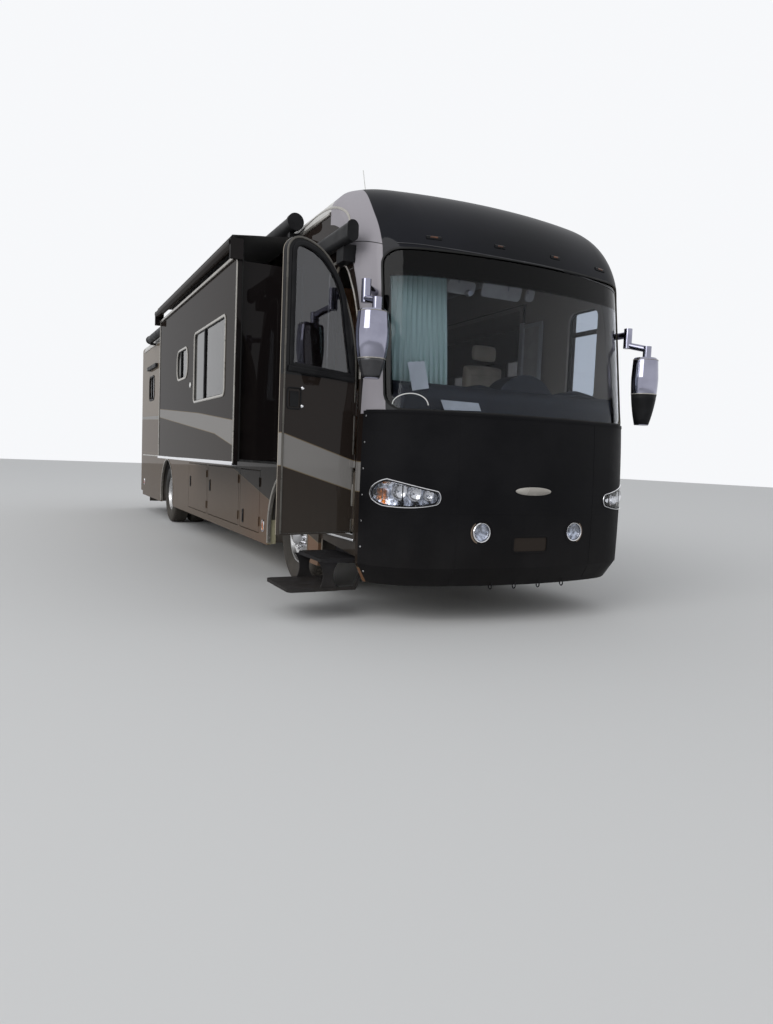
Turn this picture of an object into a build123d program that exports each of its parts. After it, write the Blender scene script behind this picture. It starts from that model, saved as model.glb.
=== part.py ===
from build123d import *
from math import atan2, cos, radians, sin
import os

os.makedirs("parts", exist_ok=True)

# Frame: z = 0 is the ground, the front faces -Y, the kerb (entry) side is -X, all sizes in mm.
# Places along the coach are given as distances behind its foremost point and turned into y by back().
body_length = 12200
body_width = 2590
roof_top = 3585
wall_top = 3330
shoulder_radius = 150
half_width = body_width / 2

# Walls and gaps
wall = 55
skirt_wall = 40
glass = 8
glass_inset = 12
door_gap = 8
slide_gap = 15
spare = 50  # how far a cutting block runs past what it cuts

# Front cap, seen from above: a wide bow with a rounded corner each side
corner_radius = 560
corner_depth = 650
cap_low = 310
mask_top = 1640
glass_top = 2880
glass_half = 1170
glass_rim = 14
glass_corner = 110
cap_seam = 530
roof_seam = 1250
mask_skin = 6
mask_stand = 1
mask_edge = 490

# Rear cap
rear_depth = 400
rear_corner = 180
rear_low = 400
rear_seam = body_length - rear_depth
hatch_half = 760
hatch_low = 620
hatch_top = 1500
hatch_thick = 40

# Wheels
front_axle_back = 2180
rear_overhang = 3320
rear_axle_back = body_length - rear_overhang
tyre_radius = 506
tyre_width = 276
rim_radius = 286
arch_radius = 620
front_track_half = 1050
kingpin_half = 860
dual_outer = 1100
dual_inner = 770
spindle_radius = 38
spindle_bore = 44
wheel_z = tyre_radius

# Floor and skirts
floor_top = 1150
floor_thick = 60
floor_low = floor_top - floor_thick
rear_floor_top = 1550
rear_floor_from = rear_axle_back + 1020
skirt_low = 320
skirt_front_kerb = 1300
tray_low = 380
tray_inner = 560
tray_wall = 15

# Chassis
rail_half = 430
rail_width = 80
rail_low = 620
rail_high = 870
rail_from = 420
rail_to = body_length - 300

# Entry door and doorway
door_from = 560
door_width = 650
door_low = 690
door_thick = 50
door_past_square = 12
door_glass_low = 1900
hinge_stand = 8
sill_low = 630
well_inner = 700

# Slide-outs
slide_from = 1880
slide_to = 5950
slide_low = 1170
slide_top = 3040
slide_reach = 620
fascia = 40
fascia_lap = 50
roller_radius = 45
slide_box_from = slide_from + fascia_lap
slide_box_to = slide_to - fascia_lap
slide_box_low = slide_low + fascia_lap
slide_box_top = slide_top - fascia_lap

# Bay doors, each hinged on its front edge
bay_low = 410
bay_top = 1100
bay_door_thick = 30
bay_frame = 40
bay_rows = (  # name, from, to
    ("front", 3100, 3920),
    ("mid", 3980, 5620),
    ("rear", 5680, 6950),
)
bay_from = bay_rows[0][1] - bay_frame
bay_to = bay_rows[-1][2] + bay_frame

# Windows in the walls and in the slide-outs' fascias
wall_window_rows = (  # sides, from, to, low, top, corner radius
    (("kerb", "driver"), 6700, 7500, 2270, 2720, 90),
    (("kerb", "driver"), body_length - 1750, body_length - 1150, 2270, 2720, 90),
    (("driver",), 780, 1200, 1900, 2780, 90),
)
slide_window_rows = (  # from, to, low, top, corner radius
    (slide_from + 390, slide_from + 1770, 1820, 2560, 60),
    (slide_from + 2150, slide_from + 2770, 2130, 2470, 120),
)

# Hitch receiver
receiver_reach = 130
receiver_half = 31.75
receiver_bore_half = 25.4
receiver_bore_depth = 240
receiver_z = 470
pin_radius = 8
pin_from_mouth = 35

front_reach = mask_stand + mask_skin
front_y = -(body_length + receiver_reach - front_reach) / 2
sides = (("kerb", -1), ("driver", 1))


def back(distance):
    return front_y + distance


def block(x_from, x_to, start, end, low, top):
    with BuildPart() as solid:
        with BuildSketch(Plane.XY.offset(low)):
            with Locations(((x_from + x_to) / 2, back((start + end) / 2))):
                Rectangle(abs(x_to - x_from), end - start)
        extrude(amount=top - low)
    return solid.part


def rod(start, end, radius):
    run = Vector(*end) - Vector(*start)
    with BuildPart() as solid:
        with BuildSketch(Plane(origin=start, z_dir=run)):
            Circle(radius)
        extrude(amount=run.length)
    return solid.part


# Half of a hinge: a barrel on the hinge's axis, fused to the leaf that a door adds beside it
barrel_radius = 7
leaf_width = 40
barrel_length = 100


def bow_radius(half, corner, depth):
    return ((half - corner) ** 2 / (depth - corner) + corner + depth) / 2


# A closed outline with its apex at the origin: a wide arc, two corner arcs, two straight sides and a base
def bowed_outline(half, corner, depth, side):
    bow = bow_radius(half, corner, depth)
    turn = atan2(bow - depth, half - corner)
    touch = (bow * cos(turn), bow * sin(turn) - bow)
    middle = (half - corner + corner * cos(turn / 2), corner * sin(turn / 2) - depth)
    with BuildSketch(Plane.XY) as outline:
        with BuildLine():
            ThreePointArc((-touch[0], touch[1]), (0, 0), touch)
            ThreePointArc(touch, middle, (half, -depth))
            Line((half, -depth), (half, -depth - side))
            Line((half, -depth - side), (-half, -depth - side))
            Line((-half, -depth - side), (-half, -depth))
            ThreePointArc((-half, -depth), (-middle[0], middle[1]), (-touch[0], touch[1]))
        make_face()
    return outline.sketch


# The nose as a solid, set in by inset all round; columns: height, set back, narrowing each side
nose_rows = (
    (cap_low, 95, 45),
    (460, 10, 0),
    (800, 0, 0),
    (mask_top, 30, 0),
    (glass_top, 190, 0),
    (3140, 330, 0),
    (3350, 560, 0),
    (3500, 860, 0),
    (3600, 1300, 0),
)
nose_stages = (  # first row, row after the last, straight between rows
    (0, 2, True),
    (1, 4, False),
    (3, 5, True),
    (4, 9, False),
)
nose_depth = 2700
side_spare = 3  # the nose is this much wider each side than the cross-section that trims it


def nose(inset):
    with BuildPart() as solid:
        for first, after, straight in nose_stages:
            sections = []
            for height, set_back, narrow in nose_rows[first:after]:
                apex = Plane(origin=(0, back(set_back) + inset, height), x_dir=(-1, 0, 0), z_dir=(0, 0, 1))
                outline = bowed_outline(
                    half_width + side_spare - narrow - inset,
                    corner_radius - inset,
                    corner_depth - inset,
                    nose_depth - corner_depth - set_back,
                )
                sections.append(apex * outline)
            loft(sections=sections, ruled=straight)
    return solid.part


# The coach's cross-section run from one distance to another, set in by inset
def hull(inset, start, end, low):
    crown = Plane(origin=(0, back(end), roof_top - inset), x_dir=(1, 0, 0), z_dir=(0, -1, 0))
    outline = bowed_outline(
        half_width - inset,
        shoulder_radius - inset,
        roof_top - wall_top - inset,
        wall_top - low,
    )
    with BuildPart() as solid:
        extrude(crown * outline, amount=end - start)
    return solid.part


# Everything ahead of the seam between the front cap and the side walls, in side view
zone_low = 200
zone_top = 3800
zone_ahead = -300
seam_rise = 1700
with BuildPart() as cap_zone:
    with BuildSketch(Plane.YZ.offset(-half_width - 4 * spare)):
        with BuildLine():
            Line((back(zone_ahead), zone_low), (back(cap_seam), zone_low))
            Line((back(cap_seam), zone_low), (back(cap_seam), seam_rise))
            ThreePointArc((back(cap_seam), seam_rise), (back(620), 2420), (back(790), 2900))
            ThreePointArc((back(790), 2900), (back(990), 3110), (back(roof_seam), 3220))
            Line((back(roof_seam), 3220), (back(roof_seam), zone_top))
            Line((back(roof_seam), zone_top), (back(zone_ahead), zone_top))
            Line((back(zone_ahead), zone_top), (back(zone_ahead), zone_low))
        make_face()
    extrude(amount=body_width + 8 * spare)

# Front lamps: each pear-shaped headlamp's blunt inner end and wide outer end, the fog lamps and the plate opening
lamp_height = 1020
lamp_inner = 797
lamp_middle = 980
lamp_outer = 1244
lamp_rise = 109
lamp_drop = 95
lamp_end = 480
lamp_gap = 3
fog_height = 740
fog_half = 450
fog_radius = 80
plate_half = 160
plate_low = 590
plate_top = 700


def headlamp_prism(grow):
    with BuildPart() as prism:
        for side, sign in sides:
            inner = (sign * lamp_inner, lamp_height - 22)
            inner_top = (sign * (lamp_inner + 21), lamp_height + 28)
            inner_low = (sign * (lamp_inner + 25), lamp_height - 71)
            upper = (sign * (lamp_outer - 86), lamp_height + lamp_rise)
            outer = (sign * lamp_outer, lamp_height)
            lower = (sign * (lamp_outer - 74), lamp_height - lamp_drop)
            with BuildSketch(Plane(origin=(0, back(lamp_end + grow), 0), x_dir=(1, 0, 0), z_dir=(0, -1, 0))):
                with BuildLine():
                    ThreePointArc(inner_low, inner, inner_top)
                    ThreePointArc(inner_top, (sign * lamp_middle, lamp_height + 62), upper)
                    ThreePointArc(upper, (sign * (lamp_outer - 22), lamp_height + 64), outer)
                    ThreePointArc(outer, (sign * (lamp_outer - 16), lamp_height - 56), lower)
                    ThreePointArc(lower, (sign * lamp_middle, lamp_height - lamp_drop - 3), inner_low)
                make_face()
                offset(amount=grow, kind=Kind.ARC)
            extrude(amount=900)
    return prism.part


def fog_prism(grow):
    with BuildPart() as prism:
        with BuildSketch(Plane(origin=(0, back(400), 0), x_dir=(1, 0, 0), z_dir=(0, -1, 0))):
            with Locations((-fog_half, fog_height), (fog_half, fog_height)):
                Circle(fog_radius + grow)
        extrude(amount=600)
    return prism.part


with BuildPart() as glass_prism:
    with BuildSketch(Plane(origin=(0, back(760), 0), x_dir=(1, 0, 0), z_dir=(0, -1, 0))):
        with Locations((0, (mask_top + glass_top) / 2)):
            RectangleRounded(2 * glass_half, glass_top - mask_top - 2 * glass_rim, glass_corner)
    extrude(amount=1000)

with BuildPart() as plate_prism:
    with BuildSketch(Plane(origin=(0, back(300), 0), x_dir=(1, 0, 0), z_dir=(0, -1, 0))):
        with Locations((0, (plate_low + plate_top) / 2)):
            RectangleRounded(2 * plate_half, plate_top - plate_low, 20)
    extrude(amount=500)

nose_outer = nose(0)
nose_inner = nose(wall)
hull_front = hull(0, zone_ahead, roof_seam, zone_low)
hull_front_inner = hull(wall, zone_ahead, roof_seam + 1, zone_low)
lamp_cut = headlamp_prism(lamp_gap)
fog_cut = fog_prism(lamp_gap)

with BuildPart() as front_cap:
    add(nose_outer)
    add(hull_front, mode=Mode.INTERSECT)
    add(cap_zone.part, mode=Mode.INTERSECT)
    add(nose_inner & hull_front_inner, mode=Mode.SUBTRACT)
    add(glass_prism.part, mode=Mode.SUBTRACT)
    add(lamp_cut, mode=Mode.SUBTRACT)
    add(fog_cut, mode=Mode.SUBTRACT)
front_cap.part.label = "front_cap"
export_step(front_cap.part, "parts/front_cap.step")

nose_glass_out = nose(glass_inset)
nose_glass_in = nose(glass_inset + glass)
with BuildPart() as windshield:
    add(nose_glass_out)
    add(nose_glass_in, mode=Mode.SUBTRACT)
    add(glass_prism.part, mode=Mode.INTERSECT)
windshield.part.label = "windshield"
export_step(windshield.part, "parts/windshield.step")

mask_out = nose(-mask_stand - mask_skin)
mask_in = nose(-mask_stand)
mask_box = block(-half_width - spare, half_width + spare, -spare, mask_edge, cap_low, mask_top)
with BuildPart() as front_mask:
    add(mask_out)
    add(mask_in, mode=Mode.SUBTRACT)
    add(mask_box, mode=Mode.INTERSECT)
    add(lamp_cut, mode=Mode.SUBTRACT)
    add(fog_cut, mode=Mode.SUBTRACT)
    add(plate_prism.part, mode=Mode.SUBTRACT)
front_mask.part.label = "front_mask"
export_step(front_mask.part, "parts/front_mask.step")


# Rear cap: the same cross-section with rounded rear corners, hollow, with the engine hatch opening
def rear_plan(inset):
    with BuildPart() as prism:
        with BuildSketch(Plane.XY):
            with Locations((0, back(body_length - inset) - 1000)):
                RectangleRounded(body_width - 2 * inset, 2000, rear_corner - inset)
        extrude(amount=roof_top + 100)
    return prism.part


rear_hull = hull(0, rear_seam, body_length, rear_low)
rear_hull_inner = hull(wall, rear_seam - 1, body_length - wall, rear_low - spare)
rear_plan_outer = rear_plan(0)
rear_plan_inner = rear_plan(wall)
notch_half = 620
notch_top = 605
with BuildPart() as rear_cap:
    add(rear_hull)
    add(rear_plan_outer, mode=Mode.INTERSECT)
    add(rear_hull_inner & rear_plan_inner, mode=Mode.SUBTRACT)
    add(
        block(-hatch_half, hatch_half, body_length - 2 * spare, body_length + spare, hatch_low, hatch_top),
        mode=Mode.SUBTRACT,
    )
    add(
        block(-notch_half, notch_half, rear_seam - spare, body_length + spare, rear_low - 10, notch_top),
        mode=Mode.SUBTRACT,
    )
rear_cap.part.label = "rear_cap"
export_step(rear_cap.part, "parts/rear_cap.step")

# Engine hatch: a framed panel with louvre slots, hinged along its top edge
louvre_count = 9
louvre_pitch = 70
louvre_height = 26
louvre_half = 580
hatch_edge = hatch_top - door_gap
with BuildPart() as engine_hatch:
    add(
        block(
            -hatch_half + door_gap,
            hatch_half - door_gap,
            body_length - hatch_thick,
            body_length,
            hatch_low + door_gap,
            hatch_edge,
        )
    )
    with BuildSketch(Plane(origin=(0, back(body_length), 0), x_dir=(-1, 0, 0), z_dir=(0, 1, 0))):
        with Locations((0, (hatch_low + hatch_top) / 2)):
            with GridLocations(0, louvre_pitch, 1, louvre_count):
                Rectangle(2 * louvre_half, louvre_height)
    extrude(amount=-hatch_thick - spare, mode=Mode.SUBTRACT)
    for middle in (-500, 0, 500):
        ends = (middle - barrel_length / 2, middle + barrel_length / 2)
        axis_y = back(body_length + hinge_stand)
        add(block(*ends, body_length, body_length + hinge_stand, hatch_edge - leaf_width, hatch_edge))
        add(rod((ends[0], axis_y, hatch_edge), (ends[1], axis_y, hatch_edge), barrel_radius))
engine_hatch.part.label = "engine_hatch"
export_step(engine_hatch.part, "parts/engine_hatch.step")

# Roof panel between the caps
with BuildPart() as roof:
    add(hull(0, roof_seam, rear_seam, wall_top - 100))
    add(hull(wall, roof_seam - 1, rear_seam + 1, wall_top - 110), mode=Mode.SUBTRACT)
    add(
        block(-half_width - 1, half_width + 1, roof_seam - 1, rear_seam + 1, wall_top - 200, wall_top),
        mode=Mode.SUBTRACT,
    )
    add(cap_zone.part, mode=Mode.SUBTRACT)
roof.part.label = "roof"
export_step(roof.part, "parts/roof.step")


# The doorway and the door share this outline: along is the distance from the hinge edge, up is z
def door_outline(plane, grow):
    with BuildSketch(plane) as outline:
        with BuildLine():
            Line((0, door_low), (0, 1800))
            ThreePointArc((0, 1800), (90, 2400), (250, 2710))
            ThreePointArc((250, 2710), (370, 2810), (530, 2850))
            ThreePointArc((530, 2850), (615, 2815), (door_width, 2730))
            Line((door_width, 2730), (door_width, door_low))
            Line((door_width, door_low), (0, door_low))
        make_face()
        offset(amount=grow, kind=Kind.ARC)
    return outline.sketch


# Window outlines on a plane across the coach, from rows of from, to, low, top, corner radius
def window_outlines(plane, rows):
    with BuildSketch(plane) as outlines:
        for start, end, low, top, corner in rows:
            with Locations((back((start + end) / 2), (low + top) / 2)):
                RectangleRounded(end - start, top - low, corner)
    return outlines.sketch


def wall_windows(side):
    return [row[1:] for row in wall_window_rows if side in row[0]]


with BuildPart() as doorway:
    doorway_plane = Plane(origin=(-half_width - spare, back(door_from), 0), x_dir=(0, 1, 0), z_dir=(1, 0, 0))
    extrude(door_outline(doorway_plane, door_gap), amount=wall + 2 * spare)

wall_from = 400
well_from = door_from - 10
well_to = door_from + door_width + 10
kick_from = well_from - 5
kick_set = 20
kick_low = 505
for side, sign in sides:
    outer = sign * half_width
    inner = sign * (half_width - wall)
    with BuildPart() as side_wall:
        add(block(outer, inner, wall_from, rear_seam, floor_top, wall_top))
        if side == "kerb":
            add(block(outer, inner, wall_from, skirt_front_kerb, sill_low, floor_top))
            add(doorway.part, mode=Mode.SUBTRACT)
            with BuildSketch(Plane.YZ.offset(outer - sign * kick_set)):
                with BuildLine():
                    Polyline(
                        (back(kick_from), sill_low),
                        (back(skirt_front_kerb), sill_low),
                        (back(skirt_front_kerb), kick_low + 60),
                        (back(kick_from), kick_low),
                        close=True,
                    )
                make_face()
            extrude(amount=-sign * kick_set)
        add(cap_zone.part, mode=Mode.SUBTRACT)
        add(
            block(
                sign * (half_width + spare),
                sign * (half_width - wall - spare),
                slide_box_from - slide_gap,
                slide_box_to + slide_gap,
                slide_box_low - slide_gap,
                slide_box_top + slide_gap,
            ),
            mode=Mode.SUBTRACT,
        )
        cutter = window_outlines(Plane.YZ.offset(outer), wall_windows(side))
        extrude(cutter, amount=2 * wall, both=True, mode=Mode.SUBTRACT)
    side_wall.part.label = f"{side}_wall"
    export_step(side_wall.part, f"parts/{side}_wall.step")

# Side window panes fixed in the walls
with BuildPart() as side_glass:
    for side, sign in sides:
        pane_plane = Plane.YZ.offset(sign * (half_width - glass_inset))
        extrude(window_outlines(pane_plane, wall_windows(side)), amount=-sign * glass)
side_glass.part.label = "side_glass"
export_step(side_glass.part, "parts/side_glass.step")

# Skirts with wheel arches, storage bays and their door openings; the driver's has the radiator's louvres
radiator_louvres = 7
radiator_pitch = 60
radiator_z = 720
radiator_half = 450
radiator_back = body_length - 1100
for side, sign in sides:
    outer = sign * half_width
    inner = sign * (half_width - skirt_wall)
    start = skirt_front_kerb if side == "kerb" else cap_seam
    with BuildPart() as skirt:
        add(block(outer, inner, start, rear_seam, skirt_low, floor_top))
        with BuildSketch(Plane.YZ.offset(outer)):
            for axle in (front_axle_back, rear_axle_back):
                with Locations((back(axle), wheel_z)):
                    Circle(arch_radius)
                with Locations((back(axle), wheel_z / 2)):
                    Rectangle(2 * arch_radius, wheel_z)
            if side == "driver":
                with Locations((back(radiator_back), radiator_z)):
                    with GridLocations(0, radiator_pitch, 1, radiator_louvres):
                        Rectangle(2 * radiator_half, louvre_height)
        extrude(amount=2 * spare, both=True, mode=Mode.SUBTRACT)
        add(block(inner, sign * tray_inner, bay_from, bay_to, tray_low, floor_low))
        for name, first, last in bay_rows:
            add(
                block(inner, sign * (tray_inner + tray_wall), first, last, tray_low + tray_wall, floor_low),
                mode=Mode.SUBTRACT,
            )
            add(block(outer, inner, first, last, bay_low, bay_top), mode=Mode.SUBTRACT)
    skirt.part.label = f"{side}_skirt"
    export_step(skirt.part, f"parts/{side}_skirt.step")

    for name, first, last in bay_rows:
        hinge_x = sign * (half_width + hinge_stand)
        hinge_along = first + door_gap
        with BuildPart() as bay_door:
            add(
                block(
                    outer,
                    sign * (half_width - bay_door_thick),
                    hinge_along,
                    last - door_gap,
                    bay_low + door_gap,
                    bay_top - door_gap,
                )
            )
            for middle in (bay_low + 130, bay_top - 130):
                low = middle - barrel_length / 2
                top = middle + barrel_length / 2
                add(block(outer, hinge_x, hinge_along, hinge_along + leaf_width, low, top))
                add(rod((hinge_x, back(hinge_along), low), (hinge_x, back(hinge_along), top), barrel_radius))
        bay_door.part.label = f"{side}_bay_door_{name}"
        export_step(bay_door.part, f"parts/{side}_bay_door_{name}.step")

# Entry door, open a little past square to the coach, its outside facing forward
door_hinge_x = -half_width - hinge_stand
door_hinge_y = back(door_from)
door_sine = sin(radians(door_past_square))
door_cosine = cos(radians(door_past_square))
hinge_plane = Plane(
    origin=(door_hinge_x, door_hinge_y, 0),
    x_dir=(-door_cosine, -door_sine, 0),
    z_dir=(-door_sine, door_cosine, 0),
)
door_plane = hinge_plane.offset(hinge_stand)


def door_window_outline(plane):
    with BuildSketch(plane) as outline:
        with BuildLine():
            Line((585, door_glass_low + 35), (44, door_glass_low))
            Line((44, door_glass_low), (130, 2380))
            ThreePointArc((130, 2380), (187, 2570), (300, 2712))
            ThreePointArc((300, 2712), (400, 2775), (520, 2800))
            ThreePointArc((520, 2800), (568, 2780), (585, 2735))
            Line((585, 2735), (585, door_glass_low + 35))
        make_face()
    return outline.sketch


with BuildPart() as entry_door:
    extrude(door_outline(door_plane, 0), amount=door_thick)
    extrude(door_window_outline(door_plane.offset(-10)), amount=door_thick + 20, mode=Mode.SUBTRACT)
    for middle in (850, 1250, 1650):
        low = middle - barrel_length / 2
        top = middle + barrel_length / 2
        with BuildSketch(hinge_plane):
            with Locations((leaf_width / 2, middle)):
                Rectangle(leaf_width, barrel_length)
        extrude(amount=hinge_stand)
        add(rod((door_hinge_x, door_hinge_y, low), (door_hinge_x, door_hinge_y, top), barrel_radius))
entry_door.part.label = "entry_door"
export_step(entry_door.part, "parts/entry_door.step")

with BuildPart() as entry_door_glass:
    extrude(door_window_outline(door_plane.offset(glass_inset)), amount=glass)
entry_door_glass.part.label = "entry_door_glass"
export_step(entry_door_glass.part, "parts/entry_door_glass.step")

# Slide-outs, run out: an open-backed box with a lapping fascia and a topper roller along its top edge
slide_out = half_width + slide_reach
slide_inner = half_width - wall - 20
roller_x = slide_out + 40
roller_z = slide_top + 85
roller_from = slide_from - 25
roller_to = slide_to + 25
bracket = 30
bracket_reach = 35
for side, sign in sides:
    box_x = sign * (slide_out - fascia)
    with BuildPart() as slideout:
        add(block(sign * slide_inner, box_x, slide_box_from, slide_box_to, slide_box_low, slide_box_top))
        add(block(box_x, sign * slide_out, slide_from, slide_to, slide_low, slide_top))
        add(
            block(
                sign * (slide_inner - spare),
                box_x,
                slide_box_from + wall,
                slide_box_to - wall,
                slide_box_low + wall,
                slide_box_top - wall,
            ),
            mode=Mode.SUBTRACT,
        )
        cutter = window_outlines(Plane.YZ.offset(sign * slide_out), slide_window_rows)
        extrude(cutter, amount=2 * fascia, both=True, mode=Mode.SUBTRACT)
        for start in (roller_from, roller_to - bracket):
            add(
                block(
                    box_x,
                    sign * (roller_x + bracket_reach),
                    start,
                    start + bracket,
                    slide_top - 60,
                    roller_z + bracket_reach,
                )
            )
        roller_start = (sign * roller_x, back(roller_from + bracket), roller_z)
        roller_end = (sign * roller_x, back(roller_to - bracket), roller_z)
        add(rod(roller_start, roller_end, roller_radius))
    slideout.part.label = f"{side}_slideout"
    export_step(slideout.part, f"parts/{side}_slideout.step")

    with BuildPart() as slide_glass:
        pane_plane = Plane.YZ.offset(sign * (slide_out - glass_inset))
        extrude(window_outlines(pane_plane, slide_window_rows), amount=-sign * glass)
    slide_glass.part.label = f"{side}_slide_glass"
    export_step(slide_glass.part, f"parts/{side}_slide_glass.step")

# Topper fabric from above the slide opening down to the roller, clear of it
fabric_wall_z = wall_top - 45
fabric_edge_z = roller_z + roller_radius + 22
fabric_edge_x = roller_x + 10
fabric_thick = 6
with BuildPart() as topper_fabric:
    for side, sign in sides:
        with BuildSketch(Plane.XZ.offset(-back(slide_to))):
            with BuildLine():
                Polyline(
                    (sign * half_width, fabric_wall_z),
                    (sign * fabric_edge_x, fabric_edge_z),
                    (sign * fabric_edge_x, fabric_edge_z - fabric_thick),
                    (sign * half_width, fabric_wall_z - fabric_thick),
                    close=True,
                )
            make_face()
        extrude(amount=slide_to - slide_from)
topper_fabric.part.label = "topper_fabric"
export_step(topper_fabric.part, "parts/topper_fabric.step")

# Floor: main deck, raised rear deck over the engine, stepwell with guide rails, joists down to the rails
floor_half = half_width - wall
floor_nose = block(-floor_half, floor_half, 60, skirt_front_kerb, floor_low, floor_top) & nose_inner
joist_from = 500
joist_count = 7
joist_width = 80
joist_pitch = (rear_floor_from - 900 - joist_from) / (joist_count - 1)
riser_from = rear_floor_from - 60
guide_rows = (well_from + 50, well_to - 100)
guide_width = 40
guide_low = 565
with BuildPart() as floor:
    add(floor_nose)
    add(
        block(-half_width, -well_inner, well_from, well_to, floor_low - spare, floor_top + spare),
        mode=Mode.SUBTRACT,
    )
    add(block(-floor_half, floor_half, skirt_front_kerb, riser_from, floor_low, floor_top))
    add(block(-floor_half, floor_half, riser_from, rear_floor_from, floor_low, rear_floor_top))
    add(
        block(
            -floor_half,
            floor_half,
            rear_floor_from,
            rear_seam,
            rear_floor_top - floor_thick,
            rear_floor_top,
        )
    )
    for number in range(joist_count):
        joist = joist_from + number * joist_pitch
        add(block(-tray_inner + 10, tray_inner - 10, joist, joist + joist_width, rail_high, floor_low))
    add(block(-floor_half, -well_inner + 20, well_from - 20, well_to + 20, door_low - 40, floor_top))
    add(
        block(-floor_half, -well_inner, well_from, well_to, door_low - 20, floor_top + spare),
        mode=Mode.SUBTRACT,
    )
    add(block(-well_inner - 270, -well_inner, well_from, well_to, door_low - 20, door_low + 210))
    for start in guide_rows:
        add(block(-floor_half, -well_inner + 20, start, start + guide_width, guide_low, door_low - 40))
floor.part.label = "floor"
export_step(floor.part, "parts/floor.step")

# Chassis: two rails and cross members, with a beam behind the mask
cross_rows = (
    rail_from,
    2900,
    4500,
    6200,
    rear_axle_back - 980,
    rear_axle_back + 820,
    body_length - 700,
)
cross_width = 90
cross_low = rail_low + 40
cross_high = rail_high - 40
front_beam_half = 900
front_beam_depth = 70
beam_drop = 120
with BuildPart() as chassis:
    for sign in (-1, 1):
        rail_sides = (sign * (rail_half - rail_width / 2), sign * (rail_half + rail_width / 2))
        add(block(*rail_sides, rail_from, rail_to, rail_low, rail_high))
        hanger_sides = (sign * (rail_half - 30), sign * (rail_half + 30))
        add(block(*hanger_sides, rail_from - front_beam_depth, rail_from + 40, rail_low - beam_drop, rail_high))
    for cross in cross_rows:
        add(block(-rail_half, rail_half, cross, cross + cross_width, cross_low, cross_high))
    add(
        block(
            -front_beam_half,
            front_beam_half,
            rail_from - front_beam_depth,
            rail_from,
            rail_low - beam_drop,
            rail_low + 90,
        )
    )
chassis.part.label = "chassis"
export_step(chassis.part, "parts/chassis.step")

# Rear bumper bar with the hitch receiver, its pin hole across
bumper_half = 1150
bumper_depth = 60
bumper_low = 430
bumper_top = 600
stay_half = 40
mouth = body_length + receiver_reach
with BuildPart() as rear_bumper:
    add(block(-bumper_half, bumper_half, body_length, body_length + bumper_depth, bumper_low, bumper_top))
    for sign in (-1, 1):
        stay_sides = (sign * (rail_half - stay_half), sign * (rail_half + stay_half))
        add(block(*stay_sides, rail_to, body_length, bumper_low, bumper_top))
    add(
        block(
            -receiver_half,
            receiver_half,
            body_length - 150,
            mouth,
            receiver_z - receiver_half,
            receiver_z + receiver_half,
        )
    )
    with BuildSketch(Plane.XZ.offset(-back(mouth))):
        with Locations((0, receiver_z)):
            Rectangle(2 * receiver_bore_half, 2 * receiver_bore_half)
    extrude(amount=receiver_bore_depth, mode=Mode.SUBTRACT)
    with BuildSketch(Plane.YZ.offset(-receiver_half - 10)):
        with Locations((back(mouth - pin_from_mouth), receiver_z)):
            Circle(pin_radius)
    extrude(amount=2 * receiver_half + 20, mode=Mode.SUBTRACT)
rear_bumper.part.label = "rear_bumper"
export_step(rear_bumper.part, "parts/rear_bumper.step")

# Rock guard: a hanging flap across the rear
guard_half = 1180
guard_back = body_length - 640
guard_thick = 15
guard_low = 190
with BuildPart() as rock_guard:
    add(block(-guard_half, guard_half, guard_back, guard_back + guard_thick, guard_low, rail_low))
    add(block(-guard_half, guard_half, guard_back + guard_thick, guard_back + 40, rail_low - 30, rail_low))
rock_guard.part.label = "rock_guard"
export_step(rock_guard.part, "parts/rock_guard.step")

# Engine, a plain block at its place
with BuildPart() as engine:
    add(block(-340, 340, rear_floor_from + 450, body_length - 700, 420, 1450))
engine.part.label = "engine"
export_step(engine.part, "parts/engine.step")

# Front beam axle with kingpin eyes, and the driven rear axle
eye_radius = 48
eye_height = 120
kingpin_radius = 20
axle_tube = 85
differential = 210
front_y_axle = back(front_axle_back)
rear_y_axle = back(rear_axle_back)
with BuildPart() as axles:
    add(
        block(
            -kingpin_half + 30,
            kingpin_half - 30,
            front_axle_back - 45,
            front_axle_back + 45,
            wheel_z - 60,
            wheel_z + 40,
        )
    )
    for sign in (-1, 1):
        kingpin = (sign * kingpin_half, front_y_axle)
        add(rod((*kingpin, wheel_z - eye_height / 2), (*kingpin, wheel_z + eye_height / 2), eye_radius))
        add(
            rod((*kingpin, wheel_z - eye_height), (*kingpin, wheel_z + eye_height), kingpin_radius + 1),
            mode=Mode.SUBTRACT,
        )
        seat_sides = (sign * (rail_half - 40), sign * (rail_half + 40))
        add(block(*seat_sides, front_axle_back - 60, front_axle_back + 60, wheel_z + 40, rail_low))
        add(block(*seat_sides, rear_axle_back - 80, rear_axle_back + 80, wheel_z, rail_low))
    for half, radius in ((dual_outer - 40, spindle_radius), (dual_inner - 160, axle_tube)):
        add(rod((-half, rear_y_axle, wheel_z), (half, rear_y_axle, wheel_z), radius))
    with Locations((0, rear_y_axle, wheel_z)):
        Sphere(differential)
axles.part.label = "axles"
export_step(axles.part, "parts/axles.step")

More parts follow.
